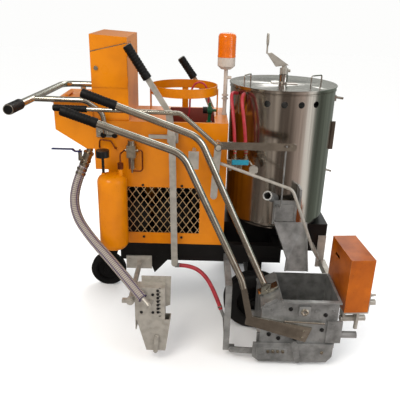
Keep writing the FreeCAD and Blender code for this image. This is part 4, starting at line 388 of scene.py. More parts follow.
def finished_piece(name: str, bm: bmesh.types.BMesh, finish: Finish, body: str, replaces: Sequence[str] = (),
                   bevel_mm: float = 0.0, crease_deg: float = 35.0) -> bpy.types.Object:
    """Turn a bmesh into a finished piece of the machine.

    Args:
        name: The piece's name.
        bm: Its geometry, in place; freed here.
        finish: Its surface.
        body: The CAD body it rides on.
        replaces: CAD nodes it stands for.
        bevel_mm: Width of a rounded edge, or 0.
        crease_deg: Edges sharper than this stay crisp.

    Returns:
        The piece.
    """
    mesh = bpy.data.meshes.new(name)
    bm.to_mesh(mesh)
    bm.free()
    mesh.polygons.foreach_set("use_smooth", [True] * len(mesh.polygons))
    mesh.set_sharp_from_angle(angle=math.radians(crease_deg))
    piece = bpy.data.objects.new(name, mesh)
    bpy.context.scene.collection.objects.link(piece)
    mesh.materials.append(finish.make())
    if bevel_mm:
        modifier = piece.modifiers.new("Edge rounding", "BEVEL")
        modifier.width = bevel_mm * MM
        modifier.segments = 2
        modifier.limit_method = "ANGLE"
        modifier.angle_limit = math.radians(crease_deg)
    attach(piece, body)
    if replaces:
        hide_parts(*replaces)
    LOG.info("%s, %d faces", name, len(mesh.polygons))
    return piece


def lathed(profile: Sequence[tuple[float, float]], base: Point, axis: Point,
           steps: int = 48) -> bmesh.types.BMesh:
    """Spin a profile of (radius, height) points, in metres, about an axis.

    Args:
        profile: Points from one end to the other.
        base: Where height 0 lies.
        axis: Direction of the heights.
        steps: Sides of the round.

    Returns:
        The closed solid's bmesh.
    """
    bm = bmesh.new()
    verts = [bm.verts.new((radius, 0.0, height)) for radius, height in profile]
    for a, b in zip(verts, verts[1:]):
        bm.edges.new((a, b))
    bmesh.ops.spin(bm, geom=bm.verts[:] + bm.edges[:], cent=(0, 0, 0), axis=(0, 0, 1), angle=math.tau,
                   steps=steps, use_merge=True)
    bmesh.ops.remove_doubles(bm, verts=bm.verts, dist=1e-6)
    bmesh.ops.recalc_face_normals(bm, faces=bm.faces)
    stand(bm, base, axis)
    return bm


def stand(bm: bmesh.types.BMesh, base: Point, axis: Point) -> None:
    """Turn a mesh's Z to an axis and move its origin to a point.

    Args:
        bm: The mesh.
        base: Where its origin goes.
        axis: Where its Z points.
    """
    turn = Vector((0, 0, 1)).rotation_difference(Vector(axis).normalized()).to_matrix().to_4x4()
    bmesh.ops.transform(bm, matrix=Matrix.Translation(Vector(base)) @ turn, verts=bm.verts)


def join(target: bmesh.types.BMesh, other: bmesh.types.BMesh) -> None:
    """Add a mesh to another and free it.

    Args:
        target: The mesh that grows.
        other: The mesh that is added and freed.
    """
    mesh = bpy.data.meshes.new("joined")
    other.to_mesh(mesh)
    other.free()
    target.from_mesh(mesh)
    bpy.data.meshes.remove(mesh)


def band(inner: float, outer: float, half: float) -> list[tuple[float, float]]:
    """Outline the section of a flat band, for lathed.

    Args:
        inner: Inner radius.
        outer: Outer radius.
        half: Half the band's width.

    Returns:
        The closed outline.
    """
    return [(inner, -half), (outer, -half), (outer, half), (inner, half), (inner, -half)]


def hex_bolt(place: Point, axis: Point, across_mm: float = 13.0, head_mm: float = 5.0) -> bmesh.types.BMesh:
    """Make a hexagon head on its washer.

    Args:
        place: Middle of the washer's seat.
        axis: Where the head points.
        across_mm: Width of the head.
        head_mm: Height of the head.

    Returns:
        The bolt's mesh.
    """
    radius = across_mm * MM / 2
    washer_radius = radius * 1.3
    washer = [(0.0, 0.0), (washer_radius, 0.0), (washer_radius, 0.0012), (0.0, 0.0012)]
    bm = lathed(washer, (0, 0, 0), (0, 0, 1), 16)
    head = bmesh.new()
    bmesh.ops.create_cone(head, cap_ends=True, segments=6, radius1=radius * 1.12, radius2=radius * 1.02,
                          depth=head_mm * MM)
    bmesh.ops.translate(head, vec=(0, 0, head_mm * MM / 2 + 0.001), verts=head.verts)
    join(bm, head)
    stand(bm, place, axis)
    return bm


def block(low: Point, high: Point) -> bmesh.types.BMesh:
    """Make a box between two corners.

    Args:
        low: Lowest corner.
        high: Highest corner.

    Returns:
        The box's mesh.
    """
    bm = bmesh.new()
    size = Vector(high) - Vector(low)
    middle = (Vector(high) + Vector(low)) / 2
    bmesh.ops.create_cube(bm, size=1.0)
    bmesh.ops.scale(bm, vec=size, verts=bm.verts)
    bmesh.ops.translate(bm, vec=middle, verts=bm.verts)
    return bm


def islands(bm: bmesh.types.BMesh) -> list[list[bmesh.types.BMFace]]:
    """Group a mesh's faces into its separate solids.

    Args:
        bm: The mesh.

    Returns:
        The solids' faces, the one with the longest diagonal first.
    """
    groups = []
    seen: set[bmesh.types.BMFace] = set()
    for face in bm.faces:
        if face in seen:
            continue
        seen.add(face)
        group = [face]
        for member in group:
            for edge in member.edges:
                for other in edge.link_faces:
                    if other not in seen:
                        seen.add(other)
                        group.append(other)
        groups.append(group)
    return sorted(groups, key=diagonal, reverse=True)


def diagonal(faces: Sequence[bmesh.types.BMFace]) -> float:
    """Measure the diagonal of the box round some faces."""
    points = [v.co for f in faces for v in f.verts]
    return sum((max(p[i] for p in points) - min(p[i] for p in points)) ** 2 for i in range(3)) ** 0.5


def cad_copy(node: str, solids: Solids = Solids.ALL) -> bmesh.types.BMesh:
    """Copy a CAD node's mesh, merged and with its flat faces joined.

    Args:
        node: The CAD node.
        solids: Which of its solids.

    Returns:
        The copy.
    """
    bm = bmesh.new()
    bm.from_mesh(frame["nodes"][node].data)
    bmesh.ops.remove_doubles(bm, verts=bm.verts, dist=2e-6)
    if solids is not Solids.ALL:
        groups = islands(bm)
        unwanted = [f for g in groups[1:] for f in g] if solids is Solids.LARGEST else groups[0]
        bmesh.ops.delete(bm, geom=unwanted, context="FACES")
    bmesh.ops.dissolve_limit(bm, angle_limit=math.radians(0.5), verts=bm.verts, edges=bm.edges)
    return bm


def body_of(node: str) -> str:
    """Name the CAD body that a node rides on."""
    return frame["nodes"][node]["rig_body"]


def nurbs_route(points: Sequence[Point], name: str, diameter: float = 0.0) -> bpy.types.Object:
    """Make a smooth curve with these control points.

    Args:
        points: The route, in metres.
        name: The curve's name.
        diameter: Thickness, or 0 for a bare line.

    Returns:
        The curve object, linked to the scene.
    """
    curve = bpy.data.curves.new(name, "CURVE")
    curve.dimensions = "3D"
    curve.resolution_u = 12
    spline = curve.splines.new("NURBS")
    spline.points.add(len(points) - 1)
    for point, co in zip(spline.points, points):
        point.co = (*co, 1.0)
    spline.order_u = 3
    spline.use_endpoint_u = True
    if diameter:
        curve.bevel_depth = diameter / 2
        curve.bevel_resolution = 5
        curve.use_fill_caps = True
    piece = bpy.data.objects.new(name, curve)
    bpy.context.scene.collection.objects.link(piece)
    return piece


# ---- camera and studio ------------------------------------------------------------
@dataclass
class Studio:
    """Camera at eye height on the working side, pale floor, soft lights and a room that metal mirrors."""

    position: Point = (-0.020, -2.290, 1.530)
    pitch_deg: float = 22.0
    roll_deg: float = 1.5
    lens_mm: float = 44.73
    sensor_mm: float = 36.0
    floor_size: float = 14.0
    panel_axis: tuple[float, float] = (0.364, 0.140)
    aim: Point = (0.0, 0.0, 0.7)
    panel_tones: Sequence[tuple[float, str]] = (
        (0.0, "8A8A86"), (0.20, "76726E"), (0.30, "4E4844"), (0.40, "6E645E"), (0.455, "BEB4AC"),
        (0.475, "5C524C"), (0.53, "82766F"), (0.58, "A89A94"), (0.625, "CABAB4"), (0.645, "FFFFFF"),
        (0.675, "FFFFFF"), (0.70, "5C665F"), (0.80, "78827B"), (0.90, "8A928C"), (1.0, "8A8A86"),
    )

    def build(self) -> None:
        """Make the camera, the floor, the lights and the room."""
        bpy.context.scene.view_settings.view_transform = "Standard"
        self.camera()
        self.floor()
        self.lights()
        self.room()

    def camera(self) -> None:
        """Aim the camera by its pitch and roll."""
        data = bpy.data.cameras.new("Camera")
        data.lens = self.lens_mm
        data.sensor_width = self.sensor_mm
        data.clip_start = 0.01
        camera = bpy.data.objects.new("Camera", data)
        bpy.context.scene.collection.objects.link(camera)
        pitch = math.radians(self.pitch_deg)
        roll = math.radians(self.roll_deg)
        forward = Vector((0, math.cos(pitch), -math.sin(pitch)))
        level_up = Vector((0, math.sin(pitch), math.cos(pitch)))
        right = Vector((1, 0, 0)) * math.cos(roll) + level_up * math.sin(roll)
        up = right.cross(forward)
        turn = Matrix((right, up, -forward)).transposed().to_4x4()
        camera.matrix_world = Matrix.Translation(Vector(self.position)) @ turn
        bpy.context.scene.camera = camera

    def floor(self) -> None:
        """Lay a wide pale floor."""
        bm = bmesh.new()
        bmesh.ops.create_grid(bm, x_segments=1, y_segments=1, size=self.floor_size)
        mesh = bpy.data.meshes.new("Studio floor")
        bm.to_mesh(mesh)
        bm.free()
        floor = bpy.data.objects.new("Studio_floor", mesh)
        bpy.context.scene.collection.objects.link(floor)
        material = bpy.data.materials.new("Pale studio floor")
        material.use_nodes = True
        tree = material.node_tree
        tree.nodes.clear()
        matt = add_node(tree, "ShaderNodeBsdfDiffuse", {"Color": srgb("FFFFFF")})
        coord = add_node(tree, "ShaderNodeTexCoord")
        mirrored = self.panels(tree, coord, "Object", self.panel_axis)
        glow = add_node(tree, "ShaderNodeEmission", {"Strength": 1.1}, {"Color": (mirrored, "Color")})
        rays = add_node(tree, "ShaderNodeLightPath")
        mix = add_node(tree, "ShaderNodeMixShader",
                       links={0: (rays, "Is Glossy Ray"), 1: (matt, "BSDF"), 2: (glow, "Emission")})
        add_node(tree, "ShaderNodeOutputMaterial", links={"Surface": (mix, "Shader")})
        mesh.materials.append(material)

    def lights(self) -> None:
        """Set a broad key light, a fill and a rim light."""
        lamps = (
            ("Key", (-1.4, -2.4, 3.4), 1.6, 62.0, "FFFAF2"),
            ("Fill", (2.8, -1.8, 2.0), 1.6, 20.0, "EAF2FF"),
            ("Rim", (0.6, 2.6, 3.0), 2.4, 46.0, "FFFFFF"),
        )
        for name, place, size, power, tone in lamps:
            data = bpy.data.lights.new(name, "AREA")
            data.size = size
            data.energy = power
            data.color = srgb(tone)[:3]
            lamp = bpy.data.objects.new(name, data)
            bpy.context.scene.collection.objects.link(lamp)
            aim = Vector(self.aim) - Vector(place)
            turn = aim.to_track_quat("-Z", "Y").to_matrix().to_4x4()
            lamp.matrix_world = Matrix.Translation(Vector(place)) @ turn

    def panels(self, tree: bpy.types.NodeTree, coord: bpy.types.Node, output: str,
               middle: tuple[float, float]) -> bpy.types.Node:
        """Paint tall bright and dim panels round a vertical axis.

        Args:
            tree: The node tree.
            coord: Its Texture Coordinate node.
            output: Which of that node's outputs gives the place or direction.
            middle: The axis, in X and Y.

        Returns:
            The Color Ramp node.
        """
        split = add_node(tree, "ShaderNodeSeparateXYZ", links={"Vector": (coord, output)})
        across = add_node(tree, "ShaderNodeMath", {"operation": "SUBTRACT", 1: middle[0]},
                          {0: (split, "X")})
        towards = add_node(tree, "ShaderNodeMath", {"operation": "SUBTRACT", 0: middle[1]},
                           {1: (split, "Y")})
        bearing = add_node(tree, "ShaderNodeMath", {"operation": "ARCTAN2"},
                           {0: (across, 0), 1: (towards, 0)})
        share = add_node(tree, "ShaderNodeMapRange", {"From Min": -math.pi, "From Max": math.pi},
                         {"Value": (bearing, 0)})
        ramp_node = add_node(tree, "ShaderNodeValToRGB", links={"Fac": (share, "Result")})
        ramp = ramp_node.color_ramp
        while len(ramp.elements) < len(self.panel_tones):
            ramp.elements.new(0.5)
        for element, (place, tone) in zip(ramp.elements, self.panel_tones):
            element.position = place
            element.color = srgb(tone)
        return ramp_node

    def room(self) -> None:
        """Light softly all round, and give metal a dim room with tall bright panels to mirror."""
        world = bpy.data.worlds.new("Studio room")
        world.use_nodes = True
        tree = world.node_tree
        tree.nodes.clear()
        coord = add_node(tree, "ShaderNodeTexCoord")
        panels = self.panels(tree, coord, "Generated", (0.0, 0.0))
        mirrored = add_node(tree, "ShaderNodeBackground", {"Strength": 1.35},
                            {"Color": (panels, "Color")})
        soft = add_node(tree, "ShaderNodeBackground", {"Color": srgb("FDFDFC"), "Strength": 1.0})
        rays = add_node(tree, "ShaderNodeLightPath")
        mix = add_node(tree, "ShaderNodeMixShader",
                       links={0: (rays, "Is Glossy Ray"), 1: (soft, "Background"),
                              2: (mirrored, "Background")})
        add_node(tree, "ShaderNodeOutputWorld", links={"Surface": (mix, "Shader")})
        bpy.context.scene.world = world


# ---- hoses ------------------------------------------------------------------------
@dataclass
class Hose:
    """One hose: its route's points, diameter and finish."""

    node: str
    route: Sequence[Point]
    diameter: float
    length: float
    finish: Finish
    stiffness: str = "medium"
    lay: str = "loose"

    def build(self) -> bpy.types.Object:
        piece = nurbs_route(self.route, "Hose_" + self.node, self.diameter)
        piece.data.materials.append(self.finish.make())
        self.declare(piece, None)
        return piece

    def declare(self, piece: bpy.types.Object, path: Optional[Sequence[Point]]) -> None:
        """Ride the hose on the machine and hide the CAD node it stands for.

        Args:
            piece: The hose's object.
            path: The points that a mesh tube follows, or None for a curve; not used.
        """
        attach(piece, "machine")
        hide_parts(self.node)


@dataclass
class RibbedHose(Hose):
    """A hose whose wall is a mesh tube with its own UV map, for a pattern that follows it."""

    sides: int = 32

    def build(self) -> bpy.types.Object:
        """Sweep a ring along the smooth route."""
        guide = nurbs_route(self.route, "Guide")
        guide.data.resolution_u = 24
        line = bpy.data.meshes.new_from_object(guide)
        centres = [v.co.copy() for v in line.vertices]
        bpy.data.objects.remove(guide)
        bm = bmesh.new()
        uv = bm.loops.layers.uv.new("UVMap")
        rings, travelled = [], [0.0]
        normal = Vector((0, 1, 0))
        for index, centre in enumerate(centres):
            ahead = centres[min(index + 1, len(centres) - 1)] - centres[max(index - 1, 0)]
            ahead.normalize()
            normal = (normal - ahead * normal.dot(ahead)).normalized()
            side = ahead.cross(normal)
            ring = []
            for step in range(self.sides):
                angle = math.tau * step / self.sides
                offset = normal * math.cos(angle) + side * math.sin(angle)
                ring.append(bm.verts.new(centre + offset * (self.diameter / 2)))
            rings.append(ring)
            if index:
                travelled.append(travelled[-1] + (centre - centres[index - 1]).length)
        for index, (low, high) in enumerate(zip(rings, rings[1:])):
            for step in range(self.sides):
                after = (step + 1) % self.sides
                face = bm.faces.new((low[step], low[after], high[after], high[step]))
                corners = ((index, step), (index, step + 1), (index + 1, step + 1), (index + 1, step))
                for loop, (ring_no, turn) in zip(face.loops, corners):
                    loop[uv].uv = (travelled[ring_no], turn / self.sides)
        for ring in (list(reversed(rings[0])), rings[-1]):
            bm.faces.new(ring)
        bmesh.ops.recalc_face_normals(bm, faces=bm.faces)
        mesh = bpy.data.meshes.new("Hose_" + self.node)
        bm.to_mesh(mesh)
        bm.free()
        mesh.polygons.foreach_set("use_smooth", [True] * len(mesh.polygons))
        mesh.materials.append(self.finish.make())
        piece = bpy.data.objects.new("Hose_" + self.node, mesh)
        bpy.context.scene.collection.objects.link(piece)
        self.declare(piece, [tuple(c) for c in centres])
        return piece


HOSES = (
    RibbedHose("bead_hose", ((-0.561, -0.100, 0.805), (-0.606, -0.130, 0.708), (-0.597, -0.188, 0.594),
                             (-0.508, -0.274, 0.514), (-0.380, -0.384, 0.440), (-0.252, -0.497, 0.350)),
               0.044, 0.757, PVC_HOSE),
    Hose("regulator_hose", ((0.008, 0.040, 1.082), (0.008, 0.040, 1.126), (-0.012, 0.041, 1.170),
                            (-0.050, 0.044, 1.176), (-0.074, 0.047, 1.140), (-0.080, 0.050, 1.090),
                            (-0.079, 0.050, 1.036), (-0.092, 0.050, 0.986)),
         0.009, 0.322, GAS_RUBBER, "limp"),
    Hose("gas_hose_rear", ((0.133, -0.120, 0.886), (0.127, -0.112, 0.975), (0.118, -0.084, 1.060),
                           (0.108, -0.042, 1.126), (0.116, -0.004, 1.142), (0.139, 0.020, 1.132)),
         0.016, 0.331, GAS_RUBBER, "limp"),
    Hose("gas_hose_front", ((0.183, -0.120, 0.886), (0.176, -0.119, 0.962), (0.166, -0.108, 1.040),
                            (0.156, -0.088, 1.100), (0.156, -0.062, 1.136), (0.166, -0.038, 1.140)),
         0.016, 0.288, GAS_RUBBER, "limp"),
    Hose("burner_hose", ((-0.112, -0.157, 0.322), (-0.052, -0.160, 0.322), (0.014, -0.192, 0.292),
                         (0.062, -0.232, 0.222), (0.094, -0.262, 0.146)), 0.020, 0.318, GAS_RUBBER, "limp"),
)


# ---- sub-assemblies -----------------------------------------------------------------
@dataclass
class Dressed:
    """A CAD node, or some of its solids, with a finish and rounded edges."""

    node: str
    finish: Finish
    bevel_mm: float = 0.8
    solids: Solids = Solids.ALL

    def build(self) -> bpy.types.Object:
        """Copy the node's solids and dress them."""
        suffix = "" if self.solids is Solids.ALL else "_" + self.solids.value
        return finished_piece("Piece_" + self.node + suffix, cad_copy(self.node, self.solids), self.finish,
                              body_of(self.node), [self.node], self.bevel_mm)


@dataclass
class SubAssembly:
    """A group of dressed CAD nodes with detail pieces of its own."""

    dressed: Sequence[Dressed] = ()

    def build(self) -> None:
        """Make the dressed nodes and then the details."""
        for item in self.dressed:
            item.build()
        self.details()

    def details(self) -> None:
        """Add nothing; a sub-assembly with details says so itself."""


def bolts(name: str, places: Sequence[Point], axis: Point, body: str, across_mm: float = 13.0,
          finish: Finish = NICKEL) -> bpy.types.Object:
    """Set a row of hexagon bolts.

    Args:
        name: The piece's name.
        places: Middles of their seats.
        axis: Where the heads point.
        body: The body they ride on.
        across_mm: Width of a head.
        finish: Their finish.

    Returns:
        The bolts as one piece.
    """
    bm = bmesh.new()
    for place in places:
        join(bm, hex_bolt(place, axis, across_mm, across_mm * 0.4))
    return finished_piece(name, bm, finish, body)


@dataclass
class Grip:
    """Ribbed rubber grip on the free end of a lever or of the push bar."""

    name: str
    node: str
    tip: Point
    towards: Point
    overhang: float
    length: float
    radius: float
    ribs: int = 9

    def build(self) -> bpy.types.Object:
        """Turn the grip's ribbed profile."""
        axis = (Vector(self.towards) - Vector(self.tip)).normalized()
        length = self.length + self.overhang
        r = self.radius
        profile = [(0.0, 0.0), (r * 0.74, 0.0), (r * 0.93, 0.003), (r * 0.98, 0.009)]
        first, last = 0.024, length - 0.020
        step = (last - first) / self.ribs
        for n in range(self.ribs):
            h = first + step * n
            profile += [(r * 0.98, h), (r * 0.91, h + step * 0.15), (r * 0.91, h + step * 0.4),
                        (r * 0.98, h + step * 0.55)]
        profile += [(r * 0.98, last), (r, length - 0.010), (r, length - 0.002), (r * 0.9, length),
                    (0.0, length)]
        bm = lathed(profile, Vector(self.tip) - axis * self.overhang, axis, 32)
        return finished_piece(self.name, bm, GRIP_RUBBER, body_of(self.node), [self.node])


@dataclass
class Levers(SubAssembly):
    """Long levers, push bar, their grips and brackets."""

    dressed: Sequence[Dressed] = (
        Dressed("gate_lever", PLATED_TUBE, 0.5), Dressed("shoe_lever", PLATED_TUBE, 0.5),
        Dressed("outlet_lever", PLATED_TUBE, 0.5), Dressed("lever_brackets", GALVANISED, 0.6),
        Dressed("drive_lever", GALVANISED, 0.6, Solids.LARGEST),
        Dressed("brake_lever", GALVANISED, 0.6, Solids.LARGEST),
        Dressed("handlebar", PLATED_TUBE, 0.4, Solids.LARGEST), Dressed("throttle_lever", PHENOLIC, 0.6),
    )
    grips: Sequence[Grip] = (
        Grip("Grip_gate_lever", "gate_lever_grip", (-0.486, -0.360, 1.183), (-0.028, -0.360, 1.018),
             0.0045, 0.138, 0.019),
        Grip("Grip_shoe_lever", "shoe_lever_grip", (-0.541, -0.470, 1.136), (-0.090, -0.470, 0.981),
             0.0045, 0.138, 0.019),
        Grip("Grip_outlet_lever", "outlet_lever_grip", (-0.642, -0.220, 1.094), (-0.110, -0.220, 1.083),
             0.0045, 0.138, 0.0145),
        Grip("Grip_drive_lever", "drive_lever", (-0.326, -0.182, 1.334), (-0.163, -0.182, 1.078),
             0.019, 0.139, 0.0196),
        Grip("Grip_brake_lever", "brake_lever", (-0.122, 0.240, 1.246), (0.002, 0.240, 1.071),
             0.019, 0.097, 0.0196, 6),
        Grip("Grip_push_bar", "handlebar", (-0.742, -0.455, 1.132), (-0.742, 0.315, 1.108),
             0.0055, 0.119, 0.0214, 7),
    )
    plate_bolts: Sequence[Point] = ((-0.455, -0.148, 0.962), (-0.405, -0.148, 0.962))

    def details(self) -> None:
        """Push the grips on and bolt the push bar's plate."""
        for grip in self.grips:
            grip.build()
        bolts("Bolts_bar_plate", self.plate_bolts, (0, -1, 0), "machine", 20, GRIP_RUBBER)


@dataclass
class BodyUnit(SubAssembly):
    """Housing with its grille, and the engine and compressor behind it."""

    dressed: Sequence[Dressed] = (
        # The grille mesh's warm gold is painted light.
        Dressed("grille_mesh", MESH_WIRE, 0.0), Dressed("engine", CAST_IRON, 1.5),
        Dressed("housing_screws", PHENOLIC, 0.5),
        Dressed("engine_pulley", CAST_IRON, 0.8), Dressed("compressor", CAST_IRON, 1.2),
        Dressed("compressor_pulley", CAST_IRON, 0.8), Dressed("drive_belt", TYRE_RUBBER, 0.4),
        Dressed("cylinder_ring", ENAMEL, 0.8),
    )
    well_x: tuple[float, float] = (-0.182, 0.040)
    skin: float = 0.004
    rim: float = 0.006

    def details(self) -> None:
        """Dress the housing, with painted shade inside its well and behind the grille."""
        housing = Dressed("body_housing", ENAMEL, 1.4).build()
        # Second slot: the dark enamel of painted shade on the inner faces.
        housing.data.materials.append(ENAMEL_WELL_SHADE.make())
        low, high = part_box("body_housing")
        for face in housing.data.polygons:
            middle = face.center
            in_well = self.well_x[0] < middle.x < self.well_x[1] and middle.z < high[2] - self.skin
            inward_x = low[0] + self.skin < middle.x < high[0] - self.skin
            inward_y = low[1] + self.skin < middle.y < high[1] - self.skin
            if inward_x and inward_y and (in_well or middle.z < high[2] - self.rim):
                face.material_index = 1


@dataclass
class Cabinet(SubAssembly):
    """Control cabinet with its slanted door and lock."""

    dressed: Sequence[Dressed] = (
        Dressed("control_cabinet", ENAMEL, 1.4), Dressed("cabinet_door", ENAMEL, 0.6, Solids.LARGEST),
        Dressed("cabinet_door", NICKEL, 0.4, Solids.REST),
    )
    leaf_y: float = -0.133
    seam_z: float = 1.315
    strip_height: float = 0.003
    strip_depth: float = 0.0016
    strip_proud: float = 0.0006
    screw_ys: Sequence[float] = (-0.108, -0.020, 0.100)
    screw_z: float = 1.300

    def details(self) -> None:
        """Line the door's seam and set the screws of the side panel."""
        low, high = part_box("cabinet_door")
        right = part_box("control_cabinet")[1][0]
        seal = bmesh.new()
        end_x = high[0] - 0.003
        outline = ((low[0], self.seam_z), (end_x, high[2]), (end_x, high[2] + self.strip_height),
                   (low[0], self.seam_z + self.strip_height))
        verts = [seal.verts.new((x, self.leaf_y - self.strip_proud, z)) for x, z in outline]
        front = seal.faces.new(verts)
        grown = bmesh.ops.extrude_face_region(seal, geom=[front])
        bmesh.ops.translate(seal, vec=(0, self.strip_depth, 0),
                            verts=[v for v in grown["geom"] if isinstance(v, bmesh.types.BMVert)])
        bmesh.ops.recalc_face_normals(seal, faces=seal.faces)
        finished_piece("Cabinet_seam_strip", seal, NICKEL, body_of("cabinet_door"))
        screws = [(right, y, self.screw_z) for y in self.screw_ys]
        bolts("Cabinet_side_screws", screws, (1, 0, 0), "machine", 8)


@dataclass
class BeadSystem(SubAssembly):
    """Bead hopper, ball valve, hose clamps and dispenser."""

    dressed: Sequence[Dressed] = (
        Dressed("bead_hopper", ENAMEL, 1.2), Dressed("bead_hopper_lid", ENAMEL, 0.6),
        Dressed("ball_valve", NICKEL, 0.5), Dressed("ball_valve_lever", BLUE_SLEEVE, 0.8),
        Dressed("dispenser_arm", GALVANISED, 0.8), Dressed("bead_dispenser", GALVANISED, 0.6),
        Dressed("dispenser_gate", GALVANISED, 0.6),
    )
    clamps: Sequence[tuple[Point, Point]] = (
        ((-0.5705, -0.1063, 0.786), (-0.347, -0.299, -0.889)),
        ((-0.5765, -0.1125, 0.768), (-0.33, -0.32, -0.889)),
    )
    clamp_radius: float = 0.0235
    face_y: float = -0.4705
    rivet_x: float = -0.190
    rivet_top: float = 0.372
    rivet_pitch: float = 0.018
    rivets: int = 7
    bolt_xs: Sequence[float] = (-0.262, -0.212)
    bolt_zs: Sequence[float] = (0.352, 0.262)

    def details(self) -> None:
        """Put band clamps on the hose, and rivets and bolts on the dispenser's plate."""
        bm = bmesh.new()
        inner, outer = self.clamp_radius - 0.001, self.clamp_radius + 0.0008
        profile = band(inner, outer, 0.005)
        for place, axis in self.clamps:
            join(bm, lathed(profile, place, axis, 40))
        finished_piece("Bead_hose_clamps", bm, NICKEL, "machine")
        row = [(self.rivet_x, self.face_y, self.rivet_top - self.rivet_pitch * n) for n in range(self.rivets)]
        bolts("Dispenser_rivets", row, (0, -1, 0), "machine", 10, PHENOLIC)
        corners = [(x, self.face_y, z) for z in self.bolt_zs for x in self.bolt_xs]
        bolts("Dispenser_bolts", corners, (0, -1, 0), "machine", 10, PHENOLIC)


@dataclass
class AirUnit(SubAssembly):
    """Air receiver, gauge, filter regulator and copper lines."""

    dressed: Sequence[Dressed] = (
        Dressed("air_tank", ENAMEL, 0.8), Dressed("air_fittings", NICKEL, 0.6, Solids.LARGEST),
        Dressed("air_fittings", PHENOLIC, 0.6, Solids.REST), Dressed("air_lines", COPPER, 0.0),
    )


@dataclass
class Beacon(SubAssembly):
    """Warning lamp on its mast."""

    dressed: Sequence[Dressed] = (Dressed("beacon_mast", LAMP_ABS, 0.6),)
    x: float = 0.084
    y: float = 0.050
    radius: float = 0.041
    ribs: int = 9

    def details(self) -> None:
        """Turn the ribbed lens and the reflector inside it."""
        low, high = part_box("beacon_lens")
        height = high[2] - low[2]
        r = self.radius
        outside = [(r, 0.0), (r, 0.006)]
        pitch = (height - 0.026) / self.ribs
        for n in range(self.ribs):
            z = 0.008 + pitch * n
            outside += [(r - 0.0003, z), (r - 0.0013, z + pitch * 0.5), (r - 0.0003, z + pitch * 0.95)]
        outside += [(r - 0.001, height - 0.014), (r - 0.005, height - 0.005), (r - 0.013, height),
                    (0.0, height)]
        inside = [(0.0, height - 0.003), (r - 0.014, height - 0.003), (r - 0.0045, height - 0.012),
                  (r - 0.003, 0.0)]
        base = (self.x, self.y, low[2])
        shell = lathed(outside + inside + [(r, 0.0)], base, (0, 0, 1), 48)
        finished_piece("Beacon_lens_ribbed", shell, LENS, "machine", ["beacon_lens"])
        core = [(0.0, 0.002), (0.016, 0.002), (0.024, 0.03), (0.026, 0.055), (0.022, 0.075), (0.0, 0.078)]
        finished_piece("Beacon_reflector", lathed(core, base, (0, 0, 1), 32), NICKEL, "machine")


@dataclass
class Kettle(SubAssembly):
    """Kettle with its jacket, lid, stirrer and outlet."""

    dressed: Sequence[Dressed] = (
        # The jacket's tall dark streaks are painted reflections.
        Dressed("kettle_jacket", STAINLESS, 0.5, Solids.LARGEST),
        Dressed("kettle_jacket", STAINLESS_LID, 0.5, Solids.REST),
        # The lid's lighter stainless is painted light.
        Dressed("kettle_pot", MILL_PLATE, 0.0), Dressed("kettle_lid", STAINLESS_LID, 0.5),
        Dressed("stirrer", GALVANISED, 0.8), Dressed("outlet_valve", MILL_PLATE, 0.5),
        Dressed("outlet_gate", MILL_PLATE, 0.5),
    )
    x: float = 0.364
    y: float = 0.140
    radius: float = 0.250
    bead_z: float = 1.150
    flange_y: float = -0.1205
    flange_xs: Sequence[float] = (0.332, 0.424)
    flange_zs: Sequence[float] = (0.662, 0.610)

    def details(self) -> None:
        """Roll the jacket's top bead, and bolt the outlet's flange."""
        r = self.radius
        bead = [(r + 0.0002, -0.004), (r + 0.0032, -0.002), (r + 0.0032, 0.002), (r + 0.0002, 0.004),
                (r + 0.0002, -0.004)]
        rolled = lathed(bead, (self.x, self.y, self.bead_z), (0, 0, 1), 128)
        finished_piece("Kettle_top_bead", rolled, STAINLESS, "machine")
        flange = [(x, self.flange_y, z) for x in self.flange_xs for z in self.flange_zs]
        bolts("Outlet_flange_bolts", flange, (0, -1, 0), "machine", 10)


@dataclass
class GasUnit(SubAssembly):
    """Regulator, manifold, burner and their pipes."""

    dressed: Sequence[Dressed] = (
        Dressed("gas_regulator", GREEN_ENAMEL, 0.6), Dressed("regulator_knob", PHENOLIC, 0.6),
        Dressed("gas_manifold", NICKEL, 0.6), Dressed("manifold_knob", GALVANISED, 0.8),
        Dressed("burner", GALVANISED, 0.4),
    )
    cast_low: Point = (0.1190, -0.1330, 0.8340)
    cast_high: Point = (0.1970, -0.1190, 0.8600)
    clamps: Sequence[tuple[Point, Point, float]] = (
        ((0.1325, -0.1190, 0.896), (-0.069, 0.1, 0.993), 0.0080),
        ((0.1825, -0.1198, 0.896), (-0.094, 0.021, 0.995), 0.0080),
        ((0.0890, -0.2575, 0.1575), (0.38, -0.35, -0.85), 0.0100),
    )

    def details(self) -> None:
        """Cast the manifold's teal face, and clamp the red hoses."""
        cast = block(self.cast_low, self.cast_high)
        bmesh.ops.bevel(cast, geom=cast.edges[:], offset=0.003, segments=3, affect="EDGES", profile=0.5,
                        material=-1)
        finished_piece("Manifold_casting", cast, TEAL_ENAMEL, "machine")
        clamps = bmesh.new()
        for place, axis, radius in self.clamps:
            join(clamps, lathed(band(radius - 0.0005, radius + 0.0012, 0.004), place, axis, 32))
        finished_piece("Gas_hose_clamps", clamps, NICKEL, "machine")


